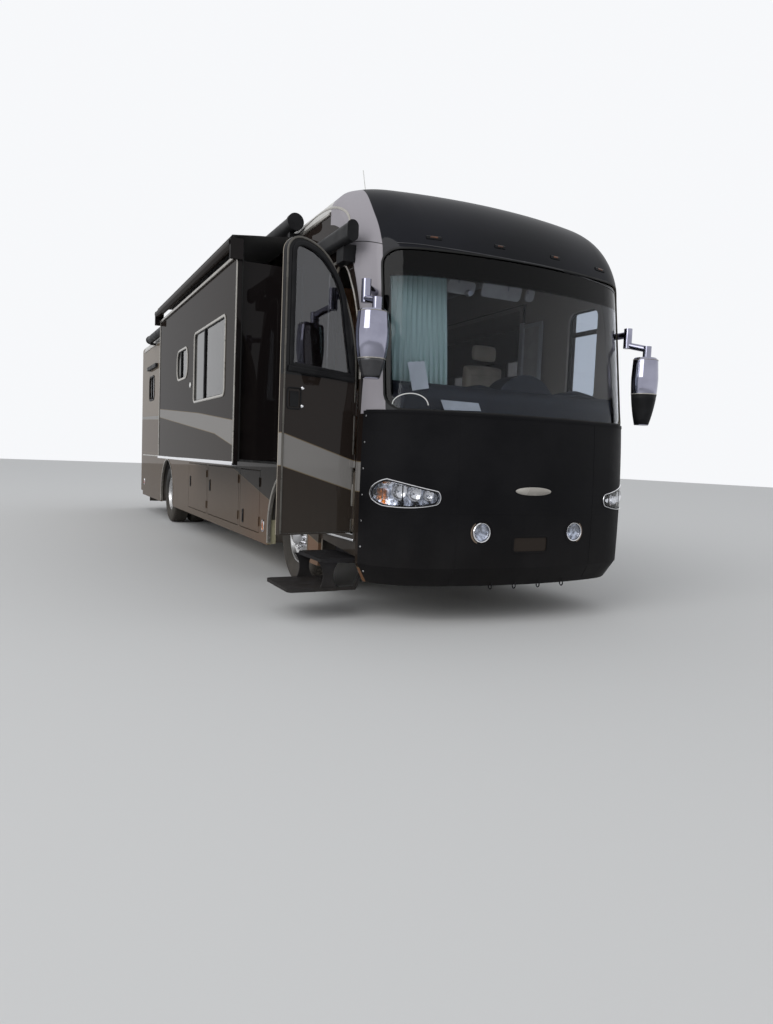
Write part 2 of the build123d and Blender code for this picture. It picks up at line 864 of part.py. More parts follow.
# Steering knuckles: two lugs on the kingpin, a web outside the eye and the spindle
lug = 40
lug_gap = 6
knuckle_low = wheel_z - eye_height / 2 - lug_gap - lug
knuckle_top = wheel_z + eye_height / 2 + lug_gap + lug
web_half = 45
for side, sign in sides:
    with BuildPart() as knuckle:
        for low in (knuckle_low, knuckle_top - lug):
            with BuildSketch(Plane.XY.offset(low)):
                with Locations((sign * kingpin_half, front_y_axle)):
                    Circle(eye_radius)
                with Locations((sign * (kingpin_half + 50), front_y_axle)):
                    Rectangle(100, 2 * web_half)
            extrude(amount=lug)
        add(
            block(
                sign * (kingpin_half + eye_radius + 8),
                sign * (kingpin_half + 100),
                front_axle_back - web_half,
                front_axle_back + web_half,
                knuckle_low,
                knuckle_top,
            )
        )
        kingpin = (sign * kingpin_half, front_y_axle)
        add(rod((*kingpin, knuckle_low + lug / 2), (*kingpin, knuckle_top - lug / 2), kingpin_radius))
        spindle = [(sign * (kingpin_half + reach), front_y_axle, wheel_z) for reach in (80, 270)]
        add(rod(*spindle, spindle_radius))
    knuckle.part.label = f"{side}_knuckle"
    export_step(knuckle.part, f"parts/{side}_knuckle.step")


# Wheels about the X axis at a given centre; sign points to the wheel's outer side
bead_gap = 0.5
sidewall_set = 35
shoulder_drop = 32
crown_drop = 3


def tyre_ring(centre_x, along):
    half = tyre_width / 2
    bead = rim_radius + bead_gap
    bulge = (rim_radius + tyre_radius) / 2 - 20
    shoulder = tyre_radius - shoulder_drop
    crown = tyre_radius - crown_drop
    round_z = tyre_radius - 12
    with BuildPart() as ring:
        with BuildSketch(Plane(origin=(centre_x, back(along), wheel_z), x_dir=(1, 0, 0), z_dir=(0, -1, 0))):
            with BuildLine():
                Line((-half + sidewall_set, bead), (half - sidewall_set, bead))
                ThreePointArc((half - sidewall_set, bead), (half, bulge), (half - 18, shoulder))
                ThreePointArc((half - 18, shoulder), (half - 26, round_z), (half - 45, crown))
                ThreePointArc((half - 45, crown), (0, tyre_radius), (-half + 45, crown))
                ThreePointArc((-half + 45, crown), (-half + 26, round_z), (-half + 18, shoulder))
                ThreePointArc((-half + 18, shoulder), (-half, bulge), (-half + sidewall_set, bead))
            make_face()
        revolve(axis=Axis((centre_x, back(along), wheel_z), (1, 0, 0)))
    return ring.part


# Solid of revolution about a wheel's axle from a closed outline of (outward along the axle, radius)
def turned(centre_x, along, sign, outline):
    centre = (centre_x, back(along), wheel_z)
    with BuildPart() as solid:
        with BuildSketch(Plane(origin=centre, x_dir=(sign, 0, 0), z_dir=(0, -sign, 0))):
            with BuildLine():
                Polyline(*outline, close=True)
            make_face()
        revolve(axis=Axis(centre, (1, 0, 0)))
    return solid.part


hub_bore = 20
hub_radius = 112
web_radius = 172
well_radius = 240
hand_hole_count = 10
hand_hole_radius = 27
hand_hole_circle = 208


# A rim whose bolting face stands at dish outward of its middle, with its hub cap out to hub_out
def rim_outline(dish, hub_out):
    half = tyre_width / 2 - 30
    return (
        (-half, rim_radius),
        (half, rim_radius),
        (half, rim_radius - 20),
        (half - 40, rim_radius - 36),
        (dish + 20, rim_radius - 40),
        (dish + 20, well_radius),
        (dish + 6, web_radius),
        (dish + 6, hub_radius),
        (hub_out - 12, 92),
        (hub_out, 70),
        (hub_out, hub_bore),
        (dish + 30, hub_bore),
        (dish + 30, spindle_bore),
        (-60, spindle_bore),
        (-60, hub_radius),
        (dish - 18, hub_radius),
        (dish - 18, web_radius),
        (dish - 6, well_radius),
        (dish - 6, rim_radius - 40),
        (-half + 30, rim_radius - 36),
        (-half, rim_radius - 20),
    )


def hand_holes(centre_x, along, sign, dish):
    with BuildPart() as holes:
        with BuildSketch(Plane.YZ.offset(centre_x + sign * (dish - 60))):
            with Locations((back(along), wheel_z)):
                with PolarLocations(hand_hole_circle, hand_hole_count):
                    Circle(hand_hole_radius)
        extrude(amount=sign * 130)
    return holes.part


# The inner wheel's rim, its disc against the back of the outer wheel's
inner_rim_outline = (
    (-108, rim_radius),
    (108, rim_radius),
    (108, rim_radius - 20),
    (98, rim_radius - 38),
    (268, rim_radius - 38),
    (268, 140),
    (245, 140),
    (245, rim_radius - 48),
    (-80, rim_radius - 48),
    (-108, rim_radius - 24),
)
front_dish = 60
rear_dish = -60
for side, sign in sides:
    with BuildPart() as front_tyre:
        add(tyre_ring(sign * front_track_half, front_axle_back))
    front_tyre.part.label = f"front_{side}_tyre"
    export_step(front_tyre.part, f"parts/front_{side}_tyre.step")

    with BuildPart() as front_rim:
        add(turned(sign * front_track_half, front_axle_back, sign, rim_outline(front_dish, 165)))
        add(hand_holes(sign * front_track_half, front_axle_back, sign, front_dish), mode=Mode.SUBTRACT)
    front_rim.part.label = f"front_{side}_rim"
    export_step(front_rim.part, f"parts/front_{side}_rim.step")

    with BuildPart() as rear_tyres:
        add(tyre_ring(sign * dual_outer, rear_axle_back))
        add(tyre_ring(sign * dual_inner, rear_axle_back))
    rear_tyres.part.label = f"rear_{side}_tyres"
    export_step(rear_tyres.part, f"parts/rear_{side}_tyres.step")

    with BuildPart() as rear_rims:
        add(turned(sign * dual_outer, rear_axle_back, sign, rim_outline(rear_dish, 60)))
        add(turned(sign * dual_inner, rear_axle_back, sign, inner_rim_outline))
        add(hand_holes(sign * dual_outer, rear_axle_back, sign, rear_dish), mode=Mode.SUBTRACT)
    rear_rims.part.label = f"rear_{side}_rims"
    export_step(rear_rims.part, f"parts/rear_{side}_rims.step")

# Entry step, drawn out: two round-cornered treads on curved legs, with arms up to the carriage in its guides
step_from = door_from
step_to = 1140
tread_thick = 27
tread_corner = 45
leg_thick = 14
lower_tread_z = 235
upper_tread_z = 455
tread_rows = (  # outer x, inner x, underside
    (-half_width - 515, -half_width - 85, lower_tread_z),
    (-half_width - 245, -half_width + 115, upper_tread_z),
)
carriage_x = -half_width + 115
leg_x = -half_width - 165
with BuildPart() as entry_step:
    for outer, inner, low in tread_rows:
        with BuildSketch(Plane.XY.offset(low)):
            with Locations(((outer + inner) / 2, back((step_from + step_to) / 2))):
                RectangleRounded(inner - outer, step_to - step_from, tread_corner)
        extrude(amount=tread_thick)
    for edge in (step_from + 10, step_to - 10 - leg_thick):
        with BuildSketch(Plane.XZ.offset(-back(edge))):
            with BuildLine():
                upper_z = upper_tread_z + 10
                lower_z = lower_tread_z + 10
                Line((leg_x - 110, upper_z), (leg_x + 60, upper_z))
                ThreePointArc((leg_x + 60, upper_z), (leg_x + 20, 340), (leg_x + 70, lower_z))
                Line((leg_x + 70, lower_z), (leg_x - 100, lower_z))
                ThreePointArc((leg_x - 100, lower_z), (leg_x - 65, 350), (leg_x - 110, upper_z))
            make_face()
            with BuildLine():
                Polyline(
                    (leg_x + 50, lower_tread_z),
                    (leg_x + 210, lower_tread_z),
                    (carriage_x + 15, 420),
                    (carriage_x + 15, upper_tread_z + tread_thick),
                    (carriage_x - 20, upper_tread_z + tread_thick),
                    (carriage_x - 20, 425),
                    (leg_x + 190, lower_tread_z + 30),
                    (leg_x + 50, lower_tread_z + 30),
                    close=True,
                )
            make_face()
        extrude(amount=-leg_thick)
    add(block(carriage_x - 20, carriage_x + 20, step_from + 10, step_to - 10, 430, guide_low - 5))
entry_step.part.label = "entry_step"
export_step(entry_step.part, "parts/entry_step.step")

# Lamps: headlamps, fog lamps and the tail lamps
lamp_skin = 10
fog_skin = 4
lamp_depth = 45
tail_lamp_x = 960
tail_lamp_radius = 75
tail_lamp_stand = 25
lamp_back = nose(lamp_depth)
with BuildPart() as lamps:
    add((nose(-lamp_skin) - lamp_back) & headlamp_prism(0))
    add((nose(-fog_skin) - lamp_back) & fog_prism(0) & block(-half_width, half_width, -20, 300, 300, 1600))
    with BuildSketch(Plane(origin=(0, back(body_length), 0), x_dir=(-1, 0, 0), z_dir=(0, 1, 0))):
        with Locations((0, lamp_height)):
            with GridLocations(2 * tail_lamp_x, 200, 2, 3):
                Circle(tail_lamp_radius)
    extrude(amount=tail_lamp_stand)
lamps.part.label = "lamps"
export_step(lamps.part, "parts/lamps.step")

# Mirrors: a foot on the pillar, an upright clamp, an arm forward and a drop head with its glass set in behind
head_rows = (  # radius, share of the height from the bottom
    (60, 0.0),
    (102, 0.3),
    (122, 0.7),
    (112, 0.97),
    (96, 1.0),
)
head_flat = 28
glass_sink = 6
foot_reach = 80
foot_radius = 30
clamp_radius = 36
arm_radius = 28
post_radius = 36
# side, head x and y, its bottom and height, post x, clamp x and y, clamp low and top, arm at clamp and post
mirror_rows = (
    (-1, half_width + 85, 150, 1845, 485, half_width + 55, half_width + 55, 350, 2485, 2590, 2450, 2400),
    (1, half_width - 15, 190, 1660, 585, half_width + 5, half_width - 75, 350, 2410, 2515, 2370, 2325),
)


def mirror_outline(plane, inset, height):
    with BuildSketch(plane) as outline:
        with BuildLine():
            spots = [(radius - inset, share * height) for radius, share in head_rows]
            spots[0] = (spots[0][0], inset)
            spots[-1] = (spots[-1][0], height - inset)
            Line((0, inset), spots[0])
            ThreePointArc(spots[0], spots[1], spots[2])
            Line(spots[2], spots[3])
            Line(spots[3], spots[4])
            Line(spots[4], (0, height - inset))
            Line((0, height - inset), (0, inset))
        make_face()
    return outline.sketch


with BuildPart() as mirrors:
    for (
        sign, head_x, head_y, low, height, post_x, clamp_x, clamp_y, clamp_low, clamp_top, arm_high, arm_low
    ) in mirror_rows:
        centre = (sign * head_x, back(head_y))
        clamp = (sign * clamp_x, back(clamp_y))
        clamp_middle = (clamp_low + clamp_top) / 2
        foot = (sign * (half_width - foot_reach), back(clamp_y + 140), clamp_middle)
        top = low + height
        add(rod(foot, (*clamp, clamp_middle), foot_radius) - nose_outer)
        add(rod((*clamp, arm_high - arm_radius), (*clamp, clamp_top), clamp_radius) - nose_outer)
        post = (sign * post_x, back(head_y))
        add(rod((*clamp, arm_high), (*post, arm_low), arm_radius) - nose_outer)
        add(rod((*post, top - 40), (*post, arm_low + 24), post_radius))
        upright = Plane(origin=(*centre, low), x_dir=(1, 0, 0), z_dir=(0, -1, 0))
        with BuildPart(mode=Mode.PRIVATE) as head:
            revolve(mirror_outline(upright, 0, height), axis=Axis((*centre, low), (0, 0, 1)))
        with BuildPart(mode=Mode.PRIVATE) as hollow:
            revolve(mirror_outline(upright, 10, height), axis=Axis((*centre, low), (0, 0, 1)))
        sides_of_head = (sign * head_x - 150, sign * head_x + 150)
        behind = block(*sides_of_head, head_y + head_flat, head_y + 200, low - 10, top + 10)
        pocket = block(*sides_of_head, head_y + head_flat - glass_sink, head_y + 200, low - 10, top + 10)
        add(head.part - behind - (hollow.part & pocket))
mirrors.part.label = "mirrors"
export_step(mirrors.part, "parts/mirrors.step")

# Awnings on the kerb side: the long patio roller with capped ends, the short one over the door, a window's
patio_x = -half_width - 90
patio_z = 3405
patio_radius = 70
patio_from = 1900
patio_to = body_length - 1700
patio_cap = 45
bracket_low = wall_top - 35
bracket_width = 60
door_awning_x = -half_width - 95
door_awning_width = 80
door_awning_from = door_from
door_awning_to = door_from + door_width + 30
door_awning_low = 2910
door_awning_top = 3060
door_awning_height = door_awning_top - door_awning_low
end_cap = 18
arm_box_from = 720
arm_box_to = 860
arm_box_low = 2800
wall_from_here = 740
with BuildPart() as awnings:
    add(rod((patio_x, back(patio_from), patio_z), (patio_x, back(patio_to), patio_z), patio_radius))
    for start in (patio_from - 5, patio_to - patio_cap + 5):
        add(rod((patio_x, back(start), patio_z), (patio_x, back(start + patio_cap), patio_z), patio_radius + 8))
    for start in (patio_from + 100, (patio_from + patio_to) / 2, patio_to - 200):
        add(block(patio_x - 20, -half_width, start, start + bracket_width, bracket_low, wall_top))
        add(block(patio_x - 20, patio_x + 20, start, start + bracket_width, bracket_low, patio_z))
    with BuildSketch(Plane.XZ.offset(-back(door_awning_from))):
        with Locations((door_awning_x, door_awning_low + door_awning_height / 2)):
            SlotOverall(door_awning_height, door_awning_width, rotation=90)
    extrude(amount=-(door_awning_to - door_awning_from))
    with BuildSketch(Plane.XZ.offset(-back(door_awning_from - end_cap))):
        with Locations((door_awning_x, door_awning_low + door_awning_height / 2)):
            SlotOverall(door_awning_height + 10, door_awning_width + 12, rotation=90)
    extrude(amount=-end_cap)
    arm_box_high = door_awning_low + 20
    arm_box = block(door_awning_x, -half_width + 110, arm_box_from, arm_box_to, arm_box_low, arm_box_high)
    add(arm_box - nose_outer - block(-half_width, 0, wall_from_here, arm_box_to, arm_box_low, arm_box_high))
    add(block(door_awning_x, -half_width, 880, door_awning_to - 20, 2965, 3005))
    add(block(-half_width - 50, -half_width, body_length - 2130, body_length - 1080, 2860, 2930))
awnings.part.label = "awnings"
export_step(awnings.part, "parts/awnings.step")

# Roof units: two air conditioners, three vents and the antenna
unit_rows = (  # from, to, half width, height
    (3300, 4300, 350, 250),
    (body_length - 4300, body_length - 3300, 350, 250),
    (5600, 6000, 200, 110),
    (body_length - 5300, body_length - 4900, 200, 110),
    (body_length - 2200, body_length - 1800, 200, 110),
)
unit_sink = 25
antenna_x = -950
antenna_back = 1330
with BuildPart() as roof_units:
    for start, end, half, height in unit_rows:
        with BuildSketch(Plane.XY.offset(roof_top - unit_sink)):
            with Locations((0, back((start + end) / 2))):
                RectangleRounded(2 * half, end - start, 80)
        extrude(amount=height + unit_sink, taper=8)
    antenna = (antenna_x, back(antenna_back))
    add(rod((*antenna, roof_top - 120), (*antenna, roof_top), 22))
    add(rod((*antenna, roof_top - 10), (antenna[0], antenna[1] + 70, roof_top + 200), 4))
    add(hull(0, roof_seam - spare, rear_seam + spare, wall_top - spare), mode=Mode.SUBTRACT)
roof_units.part.label = "roof_units"
export_step(roof_units.part, "parts/roof_units.step")

# Dash following the inside of the nose, with the steering wheel and column
dash_half = half_width - 95
dash_back = 520
dash_top = 1610
ledge_front = 300
ledge_back = 540
ledge_top = 1880
binnacle_inner = -60
binnacle_outer = 480
binnacle_top = 2030
seat_x = 620
column_plane = Plane(origin=(seat_x, back(930), 1700), x_dir=(1, 0, 0), z_dir=(0, 0.75, 0.66))
dash_shape = block(-dash_half, dash_half, 60, dash_back, floor_top, dash_top) & nose(wall + 20)
with BuildPart() as dash:
    add(dash_shape)
    with BuildPart(mode=Mode.PRIVATE) as ledge:
        with BuildSketch(Plane.YZ.offset(-dash_half)):
            with BuildLine():
                Line((back(ledge_back), dash_top - 1), (back(ledge_front), dash_top - 1))
                Line((back(ledge_front), dash_top - 1), (back(ledge_front), ledge_top - 110))
                ThreePointArc(
                    (back(ledge_front), ledge_top - 110),
                    (back(ledge_front + 38), ledge_top - 25),
                    (back(ledge_front + 130), ledge_top),
                )
                Line((back(ledge_front + 130), ledge_top), (back(ledge_back), ledge_top))
                Line((back(ledge_back), ledge_top), (back(ledge_back), dash_top - 1))
            make_face()
        extrude(amount=2 * dash_half)
    add(ledge.part & nose(wall + 20))
    with BuildSketch(Plane.XZ.offset(-back(ledge_back - 100))):
        with BuildLine():
            Line((binnacle_outer, ledge_top - 1), (binnacle_inner, ledge_top - 1))
            ThreePointArc(
                (binnacle_inner, ledge_top - 1),
                ((binnacle_inner + binnacle_outer) / 2, binnacle_top),
                (binnacle_outer, ledge_top - 1),
            )
        make_face()
    extrude(amount=-220)
    add(block(150, dash_half - 50, dash_back - 1, 760, 1330, dash_top))
    with BuildSketch(column_plane):
        Circle(235)
        Circle(205, mode=Mode.SUBTRACT)
        Rectangle(430, 50)
    extrude(amount=28)
    with BuildSketch(column_plane):
        Circle(40)
    extrude(amount=-300)
dash.part.label = "dash"
export_step(dash.part, "parts/dash.step")

# Seats: pedestal, cushion, back, headrest
cushion_half = 270
seat_front = 1180
with BuildPart() as cab_seats:
    for place in (seat_x, -380):
        add(block(place - 160, place + 160, seat_front + 120, seat_front + 420, floor_top, 1500))
        add(block(place - cushion_half, place + cushion_half, seat_front, seat_front + 520, 1480, 1620))
        add(block(place - 260, place + 260, seat_front + 500, seat_front + 640, 1560, 2300))
        add(block(place - 150, place + 150, seat_front + 510, seat_front + 610, 2290, 2480))
cab_seats.part.label = "cab_seats"
export_step(cab_seats.part, "parts/cab_seats.step")

# Cabinets: overhead locker above the windscreen and the fitted furniture behind the slide-outs
locker_half = half_width - 145
unit_from = slide_to + 200
locker = block(-locker_half, locker_half, 420, 800, 2930, 3250) & nose(wall + 20)
with BuildPart() as cabinets:
    add(locker)
    for sign in (-1, 1):
        add(block(sign * 330, sign * floor_half, unit_from, unit_from + 40, floor_top, 3200))
        add(block(sign * 900, sign * floor_half, unit_from + 40, unit_from + 500, floor_top, 2050))
cabinets.part.label = "cabinets"
export_step(cabinets.part, "parts/cabinets.step")

# Curtain drawn across the kerb end of the windscreen
curtain_outer = -half_width + 175
curtain_width = 600
curtain_low = ledge_top + 10
with BuildPart() as curtain:
    add(block(curtain_outer, curtain_outer + curtain_width, 470, 520, curtain_low, 2760))
curtain.part.label = "curtain"
export_step(curtain.part, "parts/curtain.step")
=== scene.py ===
import math
import bpy
import bmesh
from mathutils import Matrix, Vector
from mathutils.bvhtree import BVHTree


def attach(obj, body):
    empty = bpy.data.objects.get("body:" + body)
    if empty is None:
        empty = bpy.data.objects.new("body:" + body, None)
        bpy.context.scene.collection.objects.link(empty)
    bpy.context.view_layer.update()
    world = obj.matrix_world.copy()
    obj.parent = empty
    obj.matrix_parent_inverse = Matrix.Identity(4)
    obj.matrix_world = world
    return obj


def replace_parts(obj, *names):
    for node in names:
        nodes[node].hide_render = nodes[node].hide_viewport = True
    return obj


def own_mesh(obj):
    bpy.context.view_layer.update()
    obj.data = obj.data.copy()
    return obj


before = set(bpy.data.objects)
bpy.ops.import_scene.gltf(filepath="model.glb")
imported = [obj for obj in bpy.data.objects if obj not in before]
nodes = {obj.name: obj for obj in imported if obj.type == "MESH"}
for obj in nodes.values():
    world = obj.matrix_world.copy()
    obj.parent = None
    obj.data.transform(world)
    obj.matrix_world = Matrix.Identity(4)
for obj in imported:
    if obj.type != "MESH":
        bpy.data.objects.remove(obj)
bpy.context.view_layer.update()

front = -6.1615     # the coach's foremost point, on its centre line
halfWidth = 1.295
sides = (("kerb", -1), ("driver", 1))


def back(distance):
    return front + distance


# The photograph's camera
camera = {
    "place": (-3.618, -10.8695, 1.279),
    "yaw": 26.36, "pitch": -4.13, "roll": 2.26,
    "focal": 737.9, "frameHeight": 1024,
}


def makeCamera():
    yaw, pitch, roll = (math.radians(camera[name]) for name in ("yaw", "pitch", "roll"))
    ahead = Vector((math.sin(yaw) * math.cos(pitch), math.cos(yaw) * math.cos(pitch), math.sin(pitch)))
    level = Vector((math.cos(yaw), -math.sin(yaw), 0))
    upright = level.cross(ahead)
    right = math.cos(roll) * level + math.sin(roll) * upright
    up = right.cross(ahead)
    lens = bpy.data.cameras.new("photoCamera")
    lens.sensor_fit = "VERTICAL"
    lens.sensor_height = 36
    lens.lens = camera["focal"] / camera["frameHeight"] * 36
    lens.clip_end = 300
    holder = bpy.data.objects.new("photoCamera", lens)
    turn = Matrix((right, up, -ahead)).transposed().to_4x4()
    holder.matrix_world = Matrix.Translation(camera["place"]) @ turn
    bpy.context.scene.collection.objects.link(holder)
    bpy.context.scene.camera = holder


# Wiring of shader trees
def joinIn(tree, socket, value):
    if isinstance(value, bpy.types.NodeSocket):
        tree.links.new(value, socket)
    elif value is not None:
        if socket.type == "RGBA" and len(value) == 3:
            value = (*value, 1)
        socket.default_value = value


def put(tree, kind, values=None, **settings):
    node = tree.nodes.new("ShaderNode" + kind)
    for name, value in settings.items():
        setattr(node, name, value)
    for name, value in (values or {}).items():
        joinIn(tree, node.inputs[name], value)
    return node


def calc(tree, operation, first, second=None, clamp=False):
    node = put(tree, "Math", operation=operation, use_clamp=clamp)
    joinIn(tree, node.inputs[0], first)
    joinIn(tree, node.inputs[1], second)
    return node.outputs[0]


def blendColor(tree, share, low, high):
    node = put(tree, "Mix", data_type="RGBA")
    for index, value in ((0, share), (6, low), (7, high)):
        joinIn(tree, node.inputs[index], value)
    return node.outputs[2]


def rise(tree, value, low, high):
    node = put(tree, "MapRange", {"Value": value, "From Min": low, "From Max": high},
               interpolation_type="SMOOTHSTEP")
    return node.outputs["Result"]


def curveOf(tree, value, points):
    node = put(tree, "FloatCurve", {"Value": value})
    line = node.mapping.curves[0]
    line.points[0].location = points[0]
    line.points[1].location = points[-1]
    for point in points[1:-1]:
        line.points.new(*point)
    for point in line.points:
        point.handle_type = "VECTOR"
    node.mapping.update()
    return node.outputs[0]


def noise(tree, vector, scale, detail=3, roughness=0.55):
    node = put(tree, "TexNoise", {"Vector": vector, "Scale": scale, "Detail": detail, "Roughness": roughness})
    return node.outputs["Fac"]


def whereNow(tree):
    return put(tree, "TexCoord").outputs["Object"]


def stretched(tree, vector, scale):
    return put(tree, "Mapping", {"Vector": vector, "Scale": scale}).outputs[0]


def split(tree, vector):
    return put(tree, "SeparateXYZ", {"Vector": vector}).outputs


def effect(name, inputs, outputs):
    group = bpy.data.node_groups.new(name, "ShaderNodeTree")
    for label, kind, value in inputs:
        socket = group.interface.new_socket(label, in_out="INPUT", socket_type="NodeSocket" + kind)
        socket.default_value = value
    for label, kind in outputs:
        group.interface.new_socket(label, in_out="OUTPUT", socket_type="NodeSocket" + kind)
    given = group.nodes.new("NodeGroupInput")
    taken = group.nodes.new("NodeGroupOutput")
    return group, given.outputs, taken.inputs


def use(tree, group, **values):
    node = tree.nodes.new("ShaderNodeGroup")
    node.node_tree = group
    for name, value in values.items():
        joinIn(tree, node.inputs[name], value)
    return node.outputs


# Fine surface texture: a height for bump and a slow patchy mask
surfaceGrain, given, taken = effect(
    "surfaceGrain", [("Scale", "Float", 300.0), ("Patch", "Float", 3.0)],
    [("Height", "Float"), ("Mask", "Float")])
place = whereNow(surfaceGrain)
joinIn(surfaceGrain, taken["Height"], noise(surfaceGrain, place, given["Scale"], 4, 0.6))
patches = noise(surfaceGrain, place, given["Patch"], 5)
joinIn(surfaceGrain, taken["Mask"], rise(surfaceGrain, patches, 0.35, 0.7))

# Dust thrown up from the road: thick low down, broken into streaks higher up
roadDust, given, taken = effect(
    "roadDust", [("Top", "Float", 1.2), ("Amount", "Float", 0.5)], [("Mask", "Float")])
place = whereNow(roadDust)
height = split(roadDust, place)[2]
streak = noise(roadDust, stretched(roadDust, place, (9, 9, 1.3)), 1.0, 6, 0.65)
speck = noise(roadDust, place, 55, 3)
low = calc(roadDust, "SUBTRACT", 1.0, rise(roadDust, height, 0.1, given["Top"]))
cover = calc(roadDust, "MULTIPLY", low, calc(roadDust, "ADD", calc(roadDust, "MULTIPLY", streak, 1.3),
                                             calc(roadDust, "MULTIPLY", speck, 0.5)))
joinIn(roadDust, taken["Mask"], calc(roadDust, "MULTIPLY", cover, given["Amount"], clamp=True))

# Woven cloth: threads over and under, with the pitch given in threads a metre
clothWeave, given, taken = effect(
    "clothWeave", [("Threads", "Float", 900.0)], [("Height", "Float"), ("Slub", "Float")])
place = split(clothWeave, whereNow(clothWeave))
turn = calc(clothWeave, "MULTIPLY", given["Threads"], math.pi)
across = calc(clothWeave, "ADD", place[0], place[1])
along = calc(clothWeave, "SINE", calc(clothWeave, "MULTIPLY", across, turn))
upward = calc(clothWeave, "SINE", calc(clothWeave, "MULTIPLY", place[2], turn))
joinIn(clothWeave, taken["Height"], calc(clothWeave, "MULTIPLY", along, upward))
slub = noise(clothWeave, stretched(clothWeave, whereNow(clothWeave), (60, 60, 4)), 1.0, 3)
joinIn(clothWeave, taken["Slub"], slub)

# The coach's paint lines; Along is metres behind the nose and Up is metres above the ground
paint = {
    "darkBrown": (0.0150, 0.0105, 0.0088),
    "midBrown": (0.0270, 0.0205, 0.0165),
    "stripe": (0.215, 0.205, 0.195),
    "bronze": (0.105, 0.074, 0.052),
    "frontBronze": (0.165, 0.088, 0.050),
    "taupe": (0.200, 0.165, 0.130),
    "pinstripe": (0.16, 0.12, 0.07),
    "stripeTop": ((0.0, 1.22), (0.56, 1.25), (1.21, 1.44), (1.9, 1.57), (3.4, 1.69), (5.95, 1.84),
                  (12.2, 1.98)),
    "stripeLow": ((0.0, 0.98), (0.56, 1.02), (1.21, 1.20), (1.9, 1.34), (2.63, 1.46), (5.95, 1.73),
                  (12.2, 1.92)),
    "bronzeTop": ((0.0, 0.36), (1.3, 0.52), (2.56, 0.76), (4.33, 1.10), (4.6, 1.14), (7.0, 1.16),
                  (12.2, 1.23)),
    "curveLength": 12.2, "curveHeight": 4.0,
}
paintLines, given, taken = effect(
    "paintLines", [("Along", "Float", 0.0), ("Up", "Float", 1.0)], [("Color", "Color")])
share = calc(paintLines, "DIVIDE", given["Along"], paint["curveLength"])


def paintEdge(name):
    points = [(s / paint["curveLength"], z / paint["curveHeight"]) for s, z in paint[name]]
    return calc(paintLines, "MULTIPLY", curveOf(paintLines, share, points), paint["curveHeight"])


above = {}
for name in ("stripeTop", "stripeLow", "bronzeTop"):
    over = calc(paintLines, "SUBTRACT", given["Up"], paintEdge(name))
    above[name] = (rise(paintLines, over, -0.0015, 0.0015), over)
rearward = rise(paintLines, given["Along"], 5.9, 6.3)
pastNose = rise(paintLines, given["Along"], 1.5, 4.5)
lowPaint = blendColor(paintLines, pastNose, paint["frontBronze"], paint["bronze"])
midPaint = blendColor(paintLines, rearward, paint["midBrown"], paint["bronze"])
highPaint = blendColor(paintLines, rearward, paint["darkBrown"], paint["taupe"])
color = blendColor(paintLines, above["bronzeTop"][0], lowPaint, midPaint)
color = blendColor(paintLines, above["stripeLow"][0], color, paint["stripe"])
color = blendColor(paintLines, above["stripeTop"][0], color, highPaint)
for name in above:
    away = rise(paintLines, calc(paintLines, "ABSOLUTE", above[name][1]), 0.002, 0.004)
    line = calc(paintLines, "SUBTRACT", 1.0, away)
    color = blendColor(paintLines, line, color, paint["pinstripe"])
joinIn(paintLines, taken["Color"], color)


# Finishes
materials = {}


def finish(name, base=(0.5, 0.5, 0.5), metallic=0.0, roughness=0.5, **plain):
    material = bpy.data.materials.new(name)
    material.use_nodes = True
    tree = material.node_tree
    shader = tree.nodes["Principled BSDF"]
    shader.inputs["Base Color"].default_value = (*base, 1)
    shader.inputs["Metallic"].default_value = metallic
    shader.inputs["Roughness"].default_value = roughness
    for label, value in plain.items():
        joinIn(tree, shader.inputs[label.replace("_", " ")], value)
    material.diffuse_color = (*base, 1)
    materials[name] = material
    return tree, shader.inputs


def bump(tree, shader, height, depth, strength=1.0):
    node = put(tree, "Bump", {"Height": height, "Distance": depth, "Strength": strength})
    joinIn(tree, shader["Normal"], node.outputs[0])


dustColor = (0.17, 0.145, 0.115)


def paintFinish(name, along, up, inside=None, dust=0.12, dress=None, coat=0.34):
    tree, shader = finish(name, metallic=0.0, roughness=0.3, Specular_IOR_Level=0.0, Coat_Weight=coat,
                          Coat_Roughness=0.02)
    place = split(tree, whereNow(tree))
    lines = use(tree, paintLines, Along=along(tree, place), Up=up(tree, place))
    grain = use(tree, surfaceGrain, Scale=900.0, Patch=1.4)
    grime = use(tree, roadDust, Top=1.5, Amount=dust)
    speck = calc(tree, "MULTIPLY", grain["Height"], 0.02)
    flake = blendColor(tree, speck, lines["Color"], (0.42, 0.38, 0.33))
    color = blendColor(tree, grime["Mask"], dress(tree, place, flake) if dress else flake, dustColor)
    rough = calc(tree, "ADD", 0.22, calc(tree, "MULTIPLY", grain["Mask"], 0.10))
    rough = calc(tree, "ADD", rough, calc(tree, "MULTIPLY", grime["Mask"], 0.6), clamp=True)
    if inside:
        cover = inside(tree, place)
        color = blendColor(tree, cover, color, (0.42, 0.37, 0.31))
        rough = calc(tree, "MAXIMUM", rough, calc(tree, "MULTIPLY", cover, 0.7))
        joinIn(tree, shader["Coat Weight"], calc(tree, "MULTIPLY", calc(tree, "SUBTRACT", 1.0, cover), coat))
    joinIn(tree, shader["Base Color"], color)
    joinIn(tree, shader["Roughness"], rough)
    bump(tree, shader, grain["Height"], 0.0002, 0.25)


def behindNose(tree, place):
    return calc(tree, "SUBTRACT", place[1], front)


def aboveGround(tree, place):
    return place[2]


def within(tree, value, low, high):
    return calc(tree, "MULTIPLY", calc(tree, "GREATER_THAN", value, low),
                calc(tree, "LESS_THAN", value, high))


def insideWall(tree, place):
    return calc(tree, "LESS_THAN", calc(tree, "ABSOLUTE", place[0]), halfWidth - 0.03)


